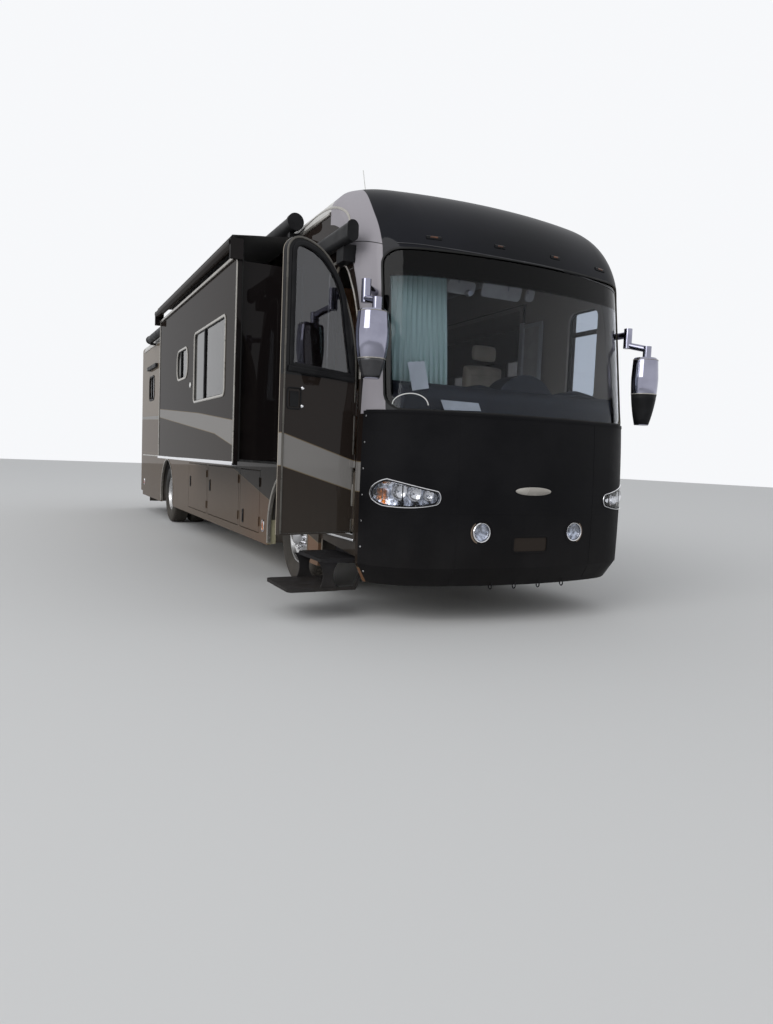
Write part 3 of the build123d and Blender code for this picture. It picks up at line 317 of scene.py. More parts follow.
def insideSlide(tree, place):
    deep = calc(tree, "LESS_THAN", calc(tree, "ABSOLUTE", place[0]), 1.865)
    between = within(tree, place[1], back(1.935), back(5.895))
    level = within(tree, place[2], 1.225, 2.985)
    return calc(tree, "MULTIPLY", deep, calc(tree, "MULTIPLY", between, level))


# Painted shade: the slide-out's front and rear end faces are painted near-black, darker than the dark brown
# and without the stripe, for the deep shade that falls on them
def paintedShadeEnds(tree, place, color):
    foremost = calc(tree, "LESS_THAN", place[1], back(1.94))
    ends = calc(tree, "MAXIMUM", foremost, calc(tree, "GREATER_THAN", place[1], back(5.89)))
    return blendColor(tree, ends, color, (0.010, 0.008, 0.008))


paintFinish("bodyPaint", behindNose, aboveGround, insideWall)
# The slide-out's paint carries painted shade on its end faces
paintFinish("slidePaint", behindNose, aboveGround, insideSlide, 0.06, paintedShadeEnds, 0.24)
paintFinish("skirtPaint", behindNose, aboveGround, insideWall, 0.22)
paintFinish("rearPaint", behindNose, aboveGround, None, 0.25)

# The entry door stands open, doorTurn past square; its paint is measured from the hinge
doorTurn = math.radians(12)
doorHinge = (-1.303, back(0.56))


def fromHinge(tree, place, first, second):
    across = calc(tree, "MULTIPLY", calc(tree, "SUBTRACT", place[0], doorHinge[0]), first)
    along = calc(tree, "MULTIPLY", calc(tree, "SUBTRACT", place[1], doorHinge[1]), second)
    return calc(tree, "ADD", across, along)


def doorAlong(tree, place):
    return calc(tree, "ADD", 0.56, fromHinge(tree, place, -math.cos(doorTurn), -math.sin(doorTurn)))


def doorInside(tree, place):
    return calc(tree, "GREATER_THAN", fromHinge(tree, place, -math.sin(doorTurn), math.cos(doorTurn)), 0.052)


def blackAbove(tree, place, color):
    return blendColor(tree, rise(tree, place[2], 1.858, 1.862), color, (0.010, 0.010, 0.011))


paintFinish("doorPaint", doorAlong, aboveGround, doorInside, 0.10, blackAbove)

# The cap: black on top, silver sides that arch over from the pillars, body colours low down
tree, shader = finish("capPaint", roughness=0.25, Specular_IOR_Level=0.0, Coat_Weight=0.26,
                      Coat_Roughness=0.05)
place = split(tree, whereNow(tree))
grain = use(tree, surfaceGrain, Scale=700.0, Patch=1.1)
outward = calc(tree, "ABSOLUTE", place[0])
lifted = calc(tree, "MAXIMUM", calc(tree, "SUBTRACT", place[2], 3.15), 0.0)
edge = calc(tree, "SUBTRACT", 1.168, calc(tree, "MULTIPLY", calc(tree, "POWER", lifted, 2.0), 0.573))
side = rise(tree, outward, calc(tree, "SUBTRACT", edge, 0.002), calc(tree, "ADD", edge, 0.002))
seamHeight = calc(tree, "ADD", 2.907, calc(tree, "MULTIPLY", calc(tree, "SUBTRACT", outward, 1.168), 0.5))
fromSeam = calc(tree, "ABSOLUTE", calc(tree, "SUBTRACT", place[2], seamHeight))
seam = calc(tree, "SUBTRACT", 1.0, rise(tree, fromSeam, 0.002, 0.005))
silver = blendColor(tree, grain["Height"], (0.27, 0.255, 0.275), (0.36, 0.34, 0.365))
silver = blendColor(tree, seam, silver, (0.02, 0.02, 0.02))
black = blendColor(tree, grain["Mask"], (0.0050, 0.0055, 0.0075), (0.0085, 0.0090, 0.0125))
lines = use(tree, paintLines, Along=behindNose(tree, place), Up=place[2])
upperCap = blendColor(tree, side, black, silver)
color = blendColor(tree, rise(tree, place[2], 1.615, 1.62), lines["Color"], upperCap)
capHeart = (0.0, back(1.7), 2.0)
fromHeart = put(tree, "VectorMath", {0: whereNow(tree), 1: capHeart}, operation="SUBTRACT").outputs[0]
surface = put(tree, "TexCoord").outputs["Normal"]
facing = put(tree, "VectorMath", {0: surface, 1: fromHeart}, operation="DOT_PRODUCT")
inward = calc(tree, "LESS_THAN", facing.outputs["Value"], 0.0)
joinIn(tree, shader["Base Color"], blendColor(tree, inward, color, (0.30, 0.27, 0.22)))
joinIn(tree, shader["Roughness"], calc(tree, "ADD", 0.16, calc(tree, "MULTIPLY", grain["Mask"], 0.14)))
bump(tree, shader, grain["Height"], 0.0002, 0.15)

# Grained black vinyl, drawn tight with faint pulls and a little dust
tree, shader = finish("maskVinyl", roughness=0.55, Specular_IOR_Level=0.05)
place = whereNow(tree)
grain = use(tree, surfaceGrain, Scale=420.0, Patch=1.8)
edges = put(tree, "TexVoronoi", {"Vector": place, "Scale": 620.0}, feature="DISTANCE_TO_EDGE")
cells = edges.outputs["Distance"]
pulls = noise(tree, stretched(tree, place, (1.2, 1.2, 4.5)), 1.6, 3, 0.5)
grime = use(tree, roadDust, Top=1.1, Amount=0.04)
color = blendColor(tree, grain["Mask"], (0.0060, 0.0060, 0.0070), (0.0105, 0.0103, 0.0115))
joinIn(tree, shader["Base Color"], blendColor(tree, grime["Mask"], color, dustColor))
joinIn(tree, shader["Roughness"], calc(tree, "ADD", 0.42, calc(tree, "MULTIPLY", grain["Mask"], 0.22)))
height = calc(tree, "ADD", calc(tree, "MULTIPLY", cells, 0.35), calc(tree, "MULTIPLY", pulls, 14.0))
bump(tree, shader, height, 0.0006, 0.6)


glassRoughness = 0.02


def glassFinish(name, tint, change=None, bend=1.45):
    tree, shader = finish(name, base=tint, roughness=glassRoughness, Transmission_Weight=1.0, IOR=bend,
                          Specular_IOR_Level=0.5)
    haze = use(tree, surfaceGrain, Scale=30.0, Patch=2.0)
    joinIn(tree, shader["Roughness"], calc(tree, "MULTIPLY", haze["Mask"], glassRoughness))
    if change:
        joinIn(tree, shader["Base Color"], change(tree, split(tree, whereNow(tree)), tint))


# A dark band runs along the windscreen's top and down its side edges
def shadeBand(tree, place, tint):
    edge = rise(tree, calc(tree, "ABSOLUTE", place[0]), 1.118, 1.124)
    band = calc(tree, "MAXIMUM", rise(tree, place[2], 2.652, 2.672), edge)
    return blendColor(tree, band, tint, (0.006, 0.007, 0.010))


def clearCab(tree, place, tint):
    return blendColor(tree, calc(tree, "LESS_THAN", place[1], back(1.8)), tint, (0.62, 0.66, 0.70))


glassFinish("windshieldGlass", (0.62, 0.66, 0.73), shadeBand, 1.22)
glassFinish("sideGlass", (0.10, 0.095, 0.09), clearCab)
glassFinish("doorGlass", (0.16, 0.17, 0.21), None, 1.75)
glassFinish("clearLens", (0.92, 0.93, 0.95))
glassFinish("amberLens", (0.90, 0.24, 0.02))
glassFinish("redLens", (0.65, 0.02, 0.02))


def speckled(name, dark, light, scale, patch, depth, strength=0.4, rough=(0.4, 0.6), metallic=0.0, dust=0.0,
             dustTop=1.0, **plain):
    tree, shader = finish(name, metallic=metallic, **plain)
    grain = use(tree, surfaceGrain, Scale=scale, Patch=patch)
    color = blendColor(tree, grain["Mask"], dark, light)
    rough = calc(tree, "ADD", rough[0], calc(tree, "MULTIPLY", grain["Mask"], rough[1] - rough[0]))
    if dust:
        grime = use(tree, roadDust, Top=dustTop, Amount=dust)
        color = blendColor(tree, grime["Mask"], color, dustColor)
        rough = calc(tree, "ADD", rough, calc(tree, "MULTIPLY", grime["Mask"], 0.5), clamp=True)
    joinIn(tree, shader["Base Color"], color)
    joinIn(tree, shader["Roughness"], rough)
    bump(tree, shader, grain["Height"], depth, strength)


speckled("chrome", (0.66, 0.66, 0.68), (0.76, 0.76, 0.78), 60, 5, 0.0001, 0.1, (0.05, 0.14), 1.0)
speckled("headChrome", (0.27, 0.27, 0.34), (0.34, 0.34, 0.42), 40, 5, 0.0001, 0.1, (0.04, 0.12), 1.0)
speckled("polishedAlloy", (0.62, 0.62, 0.63), (0.80, 0.80, 0.80), 260, 8, 0.0002, 0.2, (0.12, 0.26), 1.0,
         0.35, 0.9)
speckled("reflector", (0.10, 0.11, 0.14), (0.60, 0.64, 0.74), 55, 30, 0.004, 0.9, (0.05, 0.2), 1.0)
speckled("darkPane", (0.010, 0.010, 0.011), (0.016, 0.016, 0.017), 60, 5, 0.0001, 0.1, (0.03, 0.08))
speckled("mirrorGlass", (0.80, 0.82, 0.84), (0.84, 0.86, 0.88), 20, 4, 0.0001, 0.05, (0.01, 0.05), 1.0)
speckled("ringBronze", (0.17, 0.125, 0.09), (0.24, 0.18, 0.13), 200, 6, 0.0003, 0.3, (0.3, 0.5), 0.2)
speckled("smokedAmber", (0.045, 0.014, 0.005), (0.11, 0.034, 0.010), 200, 6, 0.0003, 0.3, (0.15, 0.25))
speckled("brushedAlloy", (0.40, 0.40, 0.41), (0.52, 0.52, 0.52), 400, 6, 0.0002, 0.3, (0.28, 0.42), 1.0)
speckled("tyreRubber", (0.010, 0.010, 0.010), (0.020, 0.020, 0.020), 500, 9, 0.0006, 0.5, (0.62, 0.85), 0.0,
         0.30, 0.9, Specular_IOR_Level=0.35)
speckled("trimPlastic", (0.009, 0.009, 0.010), (0.017, 0.017, 0.018), 700, 6, 0.0004, 0.4, (0.40, 0.58),
         Specular_IOR_Level=0.10)
speckled("whitePlastic", (0.62, 0.62, 0.60), (0.74, 0.74, 0.72), 300, 2.5, 0.0003, 0.3, (0.42, 0.6))
speckled("roofSkin", (0.52, 0.51, 0.49), (0.64, 0.63, 0.61), 260, 1.2, 0.0006, 0.4, (0.5, 0.7))
speckled("frameBlack", (0.012, 0.011, 0.011), (0.030, 0.024, 0.020), 120, 4, 0.0012, 0.5, (0.5, 0.8), 0.0,
         0.35, 1.1)
speckled("castIron", (0.05, 0.047, 0.045), (0.12, 0.085, 0.06), 90, 6, 0.0018, 0.6, (0.55, 0.85), 0.3, 0.5,
         1.1)
speckled("deckSheet", (0.20, 0.17, 0.135), (0.30, 0.26, 0.21), 160, 3, 0.001, 0.4, (0.6, 0.85))
speckled("seatLeather", (0.40, 0.34, 0.26), (0.50, 0.43, 0.33), 420, 6, 0.0008, 0.5, (0.45, 0.6))
speckled("stepMetal", (0.008, 0.008, 0.010), (0.018, 0.018, 0.021), 340, 7, 0.001, 0.7, (0.55, 0.85), 0.0,
         0.14, 0.7, Specular_IOR_Level=0.1)
speckled("rubberSeal", (0.005, 0.005, 0.005), (0.010, 0.010, 0.010), 500, 5, 0.0003, 0.3, (0.5, 0.7),
         Specular_IOR_Level=0.25)
speckled("paleTrim", (0.30, 0.28, 0.255), (0.42, 0.40, 0.365), 300, 5, 0.0002, 0.2, (0.22, 0.36), 0.6)
speckled("doorTrim", (0.075, 0.070, 0.062), (0.115, 0.108, 0.096), 300, 5, 0.0002, 0.2, (0.22, 0.36), 0.6)
speckled("smokeTrim", (0.045, 0.045, 0.048), (0.075, 0.075, 0.080), 300, 5, 0.0002, 0.2, (0.15, 0.3), 0.5)
speckled("paper", (0.72, 0.72, 0.70), (0.80, 0.80, 0.78), 120, 9, 0.0002, 0.2, (0.75, 0.85))
speckled("visorCloth", (0.55, 0.52, 0.48), (0.66, 0.63, 0.58), 700, 5, 0.0006, 0.5, (0.8, 0.9))
speckled("innerArch", (0.45, 0.42, 0.26), (0.55, 0.52, 0.34), 60, 4, 0.001, 0.3, (0.6, 0.8), 0.0, 0.4, 0.9)
speckled("dashSkin", (0.013, 0.015, 0.020), (0.022, 0.024, 0.032), 600, 4, 0.0002, 0.3, (0.55, 0.7))


def clothFinish(name, dark, light, threads, depth):
    tree, shader = finish(name, roughness=0.85, Sheen_Weight=0.2)
    weave = use(tree, clothWeave, Threads=threads)
    grain = use(tree, surfaceGrain, Scale=900.0, Patch=4.0)
    color = blendColor(tree, weave["Slub"], dark, light)
    joinIn(tree, shader["Base Color"], color)
    joinIn(tree, shader["Roughness"], calc(tree, "ADD", 0.78, calc(tree, "MULTIPLY", grain["Mask"], 0.12)))
    bump(tree, shader, weave["Height"], depth, 0.5)


clothFinish("curtainCloth", (0.50, 0.66, 0.58), (0.66, 0.80, 0.72), 1300.0, 0.0005)
clothFinish("awningFabric", (0.012, 0.011, 0.012), (0.028, 0.026, 0.025), 700.0, 0.0007)

# Reddish veneer with long grain
tree, shader = finish("cabinetVeneer", roughness=0.35, Coat_Weight=0.4, Coat_Roughness=0.2)
grainWaves = put(tree, "TexWave", {
    "Vector": stretched(tree, whereNow(tree), (6, 6, 0.7)), "Scale": 3.0, "Distortion": 7.0, "Detail": 4.0,
    "Detail Scale": 1.6}, bands_direction="X").outputs["Fac"]
pores = noise(tree, stretched(tree, whereNow(tree), (160, 160, 6)), 1.0, 4)
color = blendColor(tree, grainWaves, (0.26, 0.115, 0.055), (0.46, 0.235, 0.125))
shade = calc(tree, "MULTIPLY", pores, 0.35)
joinIn(tree, shader["Base Color"], blendColor(tree, shade, color, (0.07, 0.03, 0.015)))
bump(tree, shader, pores, 0.0003, 0.4)
print("finishes made:", len(materials))

# Floor, backdrop and light
stage = {
    "reach": 60, "floorColor": (0.62, 0.62, 0.615), "skySeen": (0.93, 0.94, 0.96),
    "skyLight": (0.95, 0.97, 1.0), "skyStrength": 0.72, "keyPlace": (-22, -15, 15), "keyAim": (0, -3, 1.5),
    "keySize": 20, "keyPower": 3000,
}


def inScene(name, data):
    item = bpy.data.objects.new(name, data)
    bpy.context.scene.collection.objects.link(item)
    return item


def makeStage():
    reach = stage["reach"]
    mesh = bpy.data.meshes.new("studioFloor")
    corners = [(-reach, -reach, 0), (reach, -reach, 0), (reach, reach, 0), (-reach, reach, 0)]
    mesh.from_pydata(corners, [], [(0, 1, 2, 3)])
    finish("studioFloor", base=stage["floorColor"], roughness=0.9)
    mesh.materials.append(materials["studioFloor"])
    floor = inScene("studioFloor", mesh)
    world = bpy.data.worlds.new("studioSky")
    bpy.context.scene.world = world
    world.use_nodes = True
    tree = world.node_tree
    shown = tree.nodes["Background"]
    lit = put(tree, "Background", {"Color": stage["skyLight"], "Strength": stage["skyStrength"]})
    joinIn(tree, shown.inputs["Color"], stage["skySeen"])
    shown.inputs["Strength"].default_value = 1.0
    path = put(tree, "LightPath").outputs
    mirrored = calc(tree, "MAXIMUM", path["Is Glossy Ray"], path["Is Transmission Ray"])
    mix = put(tree, "MixShader", {"Fac": calc(tree, "MAXIMUM", path["Is Camera Ray"], mirrored)})
    joinIn(tree, mix.inputs[1], lit.outputs[0])
    joinIn(tree, mix.inputs[2], shown.outputs[0])
    joinIn(tree, tree.nodes["World Output"].inputs["Surface"], mix.outputs[0])
    lamp = bpy.data.lights.new("softKey", "AREA")
    lamp.shape = "DISK"
    lamp.size = stage["keySize"]
    lamp.energy = stage["keyPower"]
    key = inScene("softKey", lamp)
    key.location = stage["keyPlace"]
    ahead = Vector(stage["keyAim"]) - Vector(stage["keyPlace"])
    key.rotation_euler = ahead.to_track_quat("-Z", "Y").to_euler()


bpy.context.scene.view_settings.view_transform = "Standard"
makeCamera()
makeStage()


def joinParts(parts):
    corners, faces = [], []
    for part in parts:
        first = len(corners)
        corners += part[0]
        faces += [[first + index for index in face] for face in part[1]]
    return corners, faces


def meshFrom(name, part, welded=True):
    mesh = bpy.data.meshes.new(name)
    mesh.from_pydata([tuple(corner) for corner in part[0]], [], part[1])
    form = bmesh.new()
    form.from_mesh(mesh)
    if welded:
        bmesh.ops.remove_doubles(form, verts=form.verts, dist=1e-6)
    bmesh.ops.recalc_face_normals(form, faces=form.faces)
    form.to_mesh(mesh)
    form.free()
    return mesh


def addPiece(name, part, material, body="coach", bevel=0.0, welded=True):
    mesh = meshFrom(name, joinParts(part) if isinstance(part, list) else part, welded)
    piece = inScene(name, mesh)
    if bevel:
        rounding = piece.modifiers.new("rounding", "BEVEL")
        rounding.width = bevel
        rounding.segments = 2
        rounding.limit_method = "ANGLE"
        rounding.angle_limit = math.radians(35)
    mesh.materials.append(materials[material])
    mesh.polygons.foreach_set("use_smooth", [True] * len(mesh.polygons))
    mesh.set_sharp_from_angle(angle=math.radians(38))
    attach(piece, body)
    return piece


def gridFaces(rows, columns, rowsClose=False, columnsClose=True):
    faces = []
    for row in range(rows if rowsClose else rows - 1):
        here, after = row * columns, (row + 1) % rows * columns
        for column in range(columns if columnsClose else columns - 1):
            other = (column + 1) % columns
            faces.append((here + column, here + other, after + other, after + column))
    return faces


def loftPart(rings, startCap=True):
    size, total = len(rings[0]), len(rings) * len(rings[0])
    faces = gridFaces(len(rings), size) + [tuple(range(total - size, total))]
    if startCap:
        faces.append(tuple(range(size)))
    return [corner for ring in rings for corner in ring], faces


def slabPart(outline, shift):
    return loftPart([outline, [corner + Vector(shift) for corner in outline]])


boxFaces = [(3, 2, 1, 0), (4, 5, 6, 7), (0, 1, 5, 4), (1, 2, 6, 5), (2, 3, 7, 6), (3, 0, 4, 7)]


def boxPart(low, high):
    (x0, x1), (y0, y1), (z0, z1) = (sorted(pair) for pair in zip(low, high))
    corners = [Vector((x, y, z)) for z in (z0, z1) for x, y in ((x0, y0), (x1, y0), (x1, y1), (x0, y1))]
    return corners, boxFaces


# A box given by its distances out from the middle, behind the nose and above the ground
def sideBox(sign, out, along, up):
    return boxPart((sign * out[0], back(along[0]), up[0]), (sign * out[1], back(along[1]), up[1]))


def sweep(points, ups, section, closed=False):
    count, size = len(points), len(section)
    if isinstance(ups, Vector):
        ups = [ups] * count
    corners = []
    for index in range(count):
        ahead = points[(index + 1) % count] if closed or index < count - 1 else points[index]
        behind = points[index - 1] if closed or index > 0 else points[index]
        along = (ahead - behind).normalized()
        side = along.cross(ups[index]).normalized()
        lift = side.cross(along).normalized()
        corners += [points[index] + side * a + lift * b for a, b in section]
    faces = gridFaces(count, size, closed)
    if not closed:
        faces += [tuple(range(size)), tuple(range((count - 1) * size, count * size))]
    return corners, faces


def trimBar(width, height, sink=0.003):
    half, crown, shoulder = width / 2, width * 0.30, height * 0.55
    return [(-half, -sink), (half, -sink), (half, shoulder), (crown, height), (-crown, height),
            (-half, shoulder)]


def lathe(profile, centre, axis=(1, 0, 0), steps=48, closed=False):
    axis = Vector(axis).normalized()
    first = axis.orthogonal().normalized()
    second = axis.cross(first)
    corners = []
    for step in range(steps):
        turn = math.tau * step / steps
        out = first * math.cos(turn) + second * math.sin(turn)
        corners += [Vector(centre) + axis * along + out * radius for along, radius in profile]
    return corners, gridFaces(steps, len(profile), True, closed)


def tubePart(points, radius, steps=10):
    points = [Vector(point) for point in points]
    turns = [math.tau * step / steps for step in range(steps)]
    section = [(radius * math.cos(turn), radius * math.sin(turn)) for turn in turns]
    return sweep(points, (points[-1] - points[0]).normalized().orthogonal(), section)


def smoothRoute(points, steps=8):
    points = [Vector(point) for point in points]
    padded = [2 * points[0] - points[1]] + points + [2 * points[-1] - points[-2]]
    route = []
    for index in range(1, len(padded) - 2):
        a, b, c, d = padded[index - 1:index + 3]
        for step in range(steps):
            t = step / steps
            route.append(0.5 * (2 * b + (c - a) * t + (2 * a - 5 * b + 4 * c - d) * t * t
                                + (3 * b - a - 3 * c + d) * t * t * t))
    return route + [points[-1]]


def roundedRectangle(width, height, corner, steps=6):
    points = []
    for cx, cz, turn in ((1, 1, 0), (-1, 1, 90), (-1, -1, 180), (1, -1, 270)):
        for step in range(steps + 1):
            angle = math.radians(turn + 90 * step / steps)
            points.append((cx * (width / 2 - corner) + corner * math.cos(angle),
                           cz * (height / 2 - corner) + corner * math.sin(angle)))
    return points


def arcThrough(a, b, c, steps=8):
    (ax, ay), (bx, by), (cx, cy) = a, b, c
    d = 2 * (ax * (by - cy) + bx * (cy - ay) + cx * (ay - by))
    aa, bb, cc = (x * x + y * y for x, y in (a, b, c))
    ux = (aa * (by - cy) + bb * (cy - ay) + cc * (ay - by)) / d
    uy = (aa * (cx - bx) + bb * (ax - cx) + cc * (bx - ax)) / d
    start, middle, end = (math.atan2(y - uy, x - ux) for x, y in (a, b, c))
    radius = math.hypot(ax - ux, ay - uy)
    span = (end - start) % math.tau
    if (middle - start) % math.tau > span:
        span = -((start - end) % math.tau)
    turns = [start + span * step / steps for step in range(steps + 1)]
    return [(ux + radius * math.cos(turn), uy + radius * math.sin(turn)) for turn in turns]


def arcChain(points, *arcs):
    for middle, end, steps in arcs:
        points = points + arcThrough(points[-1], middle, end, steps)[1:]
    return points


# The skin of some CAD nodes, to lay trims on
def skinOf(*names):
    meshes = [nodes[name].data for name in names]
    return BVHTree.FromPolygons(*joinParts([
        ([vertex.co.copy() for vertex in mesh.vertices], [polygon.vertices for polygon in mesh.polygons])
        for mesh in meshes]))


def onSkin(skin, start, direction, stand=0.0):
    place, normal, index, distance = skin.ray_cast(Vector(start), Vector(direction).normalized())
    if place is None:
        return None
    if normal.dot(Vector(direction)) > 0:
        normal = -normal
    return place + normal * stand, normal


def frontOf(skin, x, z, stand=0.0):
    return onSkin(skin, (x, back(-1), z), (0, 1, 0), stand)


def aroundNose(skin, height, start, end, steps):
    found = []
    for step in range(steps + 1):
        x = start + (end - start) * step / steps
        angle = math.asin(x / 1.75)
        out = Vector((math.sin(angle), -math.cos(angle), 0))
        level = height(x) if callable(height) else height
        found.append(onSkin(skin, Vector((0, back(1.6), level)) + out * 4, -out))
    return found


def skinTrim(found, section, closed=False):
    found = [item for item in found if item]
    return sweep([item[0] for item in found], [item[1] for item in found], section, closed)


# Geometry node trees for what repeats
def nodesTree(name, inputs):
    tree = bpy.data.node_groups.new(name, "GeometryNodeTree")
    for way in ("OUTPUT", "INPUT"):
        tree.interface.new_socket("Geometry", in_out=way, socket_type="NodeSocketGeometry")
    for label, kind, value in inputs:
        socket = tree.interface.new_socket(label, in_out="INPUT", socket_type="NodeSocket" + kind)
        if value is not None:
            socket.default_value = value
    given = tree.nodes.new("NodeGroupInput")
    taken = tree.nodes.new("NodeGroupOutput")
    return tree, given.outputs, taken.inputs


def geo(tree, kind, values=None, **settings):
    node = tree.nodes.new("GeometryNode" + kind)
    for name, value in settings.items():
        setattr(node, name, value)
    for name, value in (values or {}).items():
        joinIn(tree, node.inputs[name], value)
    return node


def setItems(tree, given, taken, points, vector, axis):
    turn = tree.nodes.new("FunctionNodeAlignRotationToVector")
    turn.axis = axis
    joinIn(tree, turn.inputs["Vector"], vector)
    item = geo(tree, "ObjectInfo", {"Object": given["Item"]})
    placed = geo(tree, "InstanceOnPoints", {
        "Points": points, "Instance": item.outputs["Geometry"], "Rotation": turn.outputs[0]})
    real = geo(tree, "RealizeInstances", {"Geometry": placed.outputs[0]})
    finished = geo(tree, "SetMaterial", {"Geometry": real.outputs[0], "Material": given["Material"]})
    joinIn(tree, taken["Geometry"], finished.outputs[0])


# Items round a circle: Count of them at Radius about the Z axis, each with its own X outward
roundAxle, given, taken = nodesTree("roundAxle", [
    ("Count", "Int", 10), ("Radius", "Float", 0.14), ("Item", "Object", None),
    ("Material", "Material", None)])
ring = geo(roundAxle, "MeshCircle", {"Vertices": given["Count"], "Radius": given["Radius"]})
setItems(roundAxle, given, taken, ring.outputs[0], geo(roundAxle, "InputPosition").outputs[0], "X")

# Items along the edges of the carrier, one every Spacing, standing off the edge's normal
alongPath, given, taken = nodesTree("alongPath", [
    ("Spacing", "Float", 0.18), ("Item", "Object", None), ("Material", "Material", None)])
path = geo(alongPath, "MeshToCurve", {"Mesh": given["Geometry"]})
even = geo(alongPath, "CurveToPoints", {"Curve": path.outputs[0], "Length": given["Spacing"]}, mode="LENGTH")
facing = geo(alongPath, "InputNamedAttribute", {"Name": "facing"}, data_type="FLOAT_VECTOR")
setItems(alongPath, given, taken, even.outputs[0], facing.outputs[0], "Z")


def itemObject(part, smooth=True):
    mesh = meshFrom("item", part)
    mesh.polygons.foreach_set("use_smooth", [smooth] * len(mesh.polygons))
    return inScene("item", mesh)


def growPart(tree, carrierMesh, material, **values):
    carrier = inScene("carrier", carrierMesh)
    modifier = carrier.modifiers.new("grow", "NODES")
    modifier.node_group = tree
    values["Material"] = materials[material]
    for socket in tree.interface.items_tree:
        if socket.in_out == "INPUT" and socket.name in values:
            modifier[socket.identifier] = values[socket.name]
    graph = bpy.context.evaluated_depsgraph_get()
    mesh = bpy.data.meshes.new_from_object(carrier.evaluated_get(graph))
    corners = [vertex.co.copy() for vertex in mesh.vertices]
    faces = [tuple(polygon.vertices) for polygon in mesh.polygons]
    carrier.modifiers.clear()
    bpy.data.objects.remove(carrier)
    bpy.data.meshes.remove(mesh)
    return corners, faces


def pathMesh(found):
    mesh = bpy.data.meshes.new("carrier")
    edges = [(index, index + 1) for index in range(len(found) - 1)]
    mesh.from_pydata([tuple(place) for place, normal in found], edges, [])
    facing = mesh.attributes.new("facing", "FLOAT_VECTOR", "POINT")
    for index, (place, normal) in enumerate(found):
        facing.data[index].vector = normal
    return mesh


def turnPart(part, turn, place=(0, 0, 0)):
    return [turn @ corner + Vector(place) for corner in part[0]], part[1]


# Finishes of the CAD nodes that stay
nodeFinishes = {
    "chassis": "frameBlack", "floor": "deckSheet", "roof": "roofSkin", "front_cap": "capPaint",
    "windshield": "windshieldGlass", "front_mask": "maskVinyl", "rear_cap": "rearPaint",
    "rear_bumper": "frameBlack", "rock_guard": "tyreRubber", "side_glass": "sideGlass",
    "awnings": "trimPlastic", "mirrors": "headChrome", "roof_units": "whitePlastic", "dash": "dashSkin",
    "cabinets": "cabinetVeneer", "engine": "castIron", "axles": "castIron", "entry_door": "doorPaint",
    "entry_door_glass": "doorGlass", "engine_hatch": "rearPaint", "entry_step": "stepMetal",
}
for side, sign in sides:
    nodeFinishes.update({
        f"{side}_skirt": "skirtPaint", f"{side}_wall": "bodyPaint", f"{side}_slideout": "slidePaint",
        f"{side}_slide_glass": "sideGlass", f"{side}_knuckle": "castIron",
        f"front_{side}_rim": "polishedAlloy", f"rear_{side}_rims": "polishedAlloy"})
    for name in ("front", "mid", "rear"):
        nodeFinishes[f"{side}_bay_door_{name}"] = "skirtPaint"
for name, finishName in nodeFinishes.items():
    for slot in nodes[name].material_slots:
        slot.material = materials[finishName]
print("CAD nodes finished:", len(nodeFinishes))


# The shapes of one CAD node as separate closed pieces, merged, from a copy
def islandsOf(name):
    form = bmesh.new()
    form.from_mesh(nodes[name].data)
    bmesh.ops.remove_doubles(form, verts=form.verts, dist=2e-5)
    left, islands = set(form.faces), []
    while left:
        seed = left.pop()
        island, waiting = [seed], [seed]
        while waiting:
            for edge in waiting.pop().edges:
                for other in edge.link_faces:
                    if other in left:
                        left.remove(other)
                        island.append(other)
                        waiting.append(other)
        islands.append([([vertex.co.copy() for vertex in face.verts], face.normal.copy()) for face in island])
    form.free()
    return islands


def facesPart(faces, keep):
    corners, kept = [], []
    for places, normal in faces:
        if keep(normal):
            kept.append(tuple(range(len(corners), len(corners) + len(places))))
            corners += places
    return corners, kept


def edgeLoop(part):
    form = bmesh.new()
    mesh = bpy.data.meshes.new("loop")
    mesh.from_pydata([tuple(corner) for corner in part[0]], [], part[1])
    form.from_mesh(mesh)
    bmesh.ops.remove_doubles(form, verts=form.verts, dist=2e-5)
    start = next(edge for edge in form.edges if edge.is_boundary)
    loop, edge, vertex = [start.verts[0].co.copy()], start, start.verts[1]
    while (vertex.co - loop[0]).length > 1e-7:
        loop.append(vertex.co.copy())
        edge = next(other for other in vertex.link_edges if other.is_boundary and other != edge)
        vertex = edge.other_vert(vertex)
    form.free()
    bpy.data.meshes.remove(mesh)
    return loop


def evenLoop(points, count):
    line = points + [points[0]]
    lengths = [0.0]
    for first, second in zip(line, line[1:]):
        lengths.append(lengths[-1] + (second - first).length)
    even, index = [], 0
    for step in range(count):
        target = lengths[-1] * step / count
        while index < len(line) - 2 and lengths[index + 1] < target:
            index += 1
        run = max(lengths[index + 1] - lengths[index], 1e-9)
        even.append(line[index].lerp(line[index + 1], min(1.0, (target - lengths[index]) / run)))
    return even


def thicken(piece, depth, offset=-1):
    wall = piece.modifiers.new("wall", "SOLIDIFY")
    wall.thickness = depth
    wall.offset = offset


# Front and rear lamps
lamp = {
    "lensThick": 0.003, "rimWidth": 0.009, "rimHeight": 0.006, "rearX": 0.96, "rearBack": 12.2,
    "amberAbove": 1.1, "fogX": 0.45, "fogZ": 0.74, "fogRadius": 0.07,
}
rearDome = [(-0.004, 0.069), (0.010, 0.069), (0.018, 0.058), (0.023, 0.034), (0.0245, 0.0)]
rearRing = [(0.0, 0.075), (0.012, 0.075), (0.014, 0.071), (0.011, 0.066), (0.0, 0.066)]
fogDome = [(-0.004, lamp["fogRadius"])] + [
    (0.012 * (1 - (radius / lamp["fogRadius"]) ** 2), radius) for radius in (0.07, 0.055, 0.038, 0.018, 0.0)]
fogCup = [(0.0, 0.071), (-0.012, 0.066), (-0.024, 0.045), (-0.030, 0.018), (-0.030, 0.0)]
fogRing = [(-0.004, 0.079), (0.004, 0.079), (0.009, 0.075), (0.006, 0.069), (-0.004, 0.069)]
lenses, bowls, rims, redLenses, amberLenses, rearRims, gaskets = [], [], [], [], [], [], []
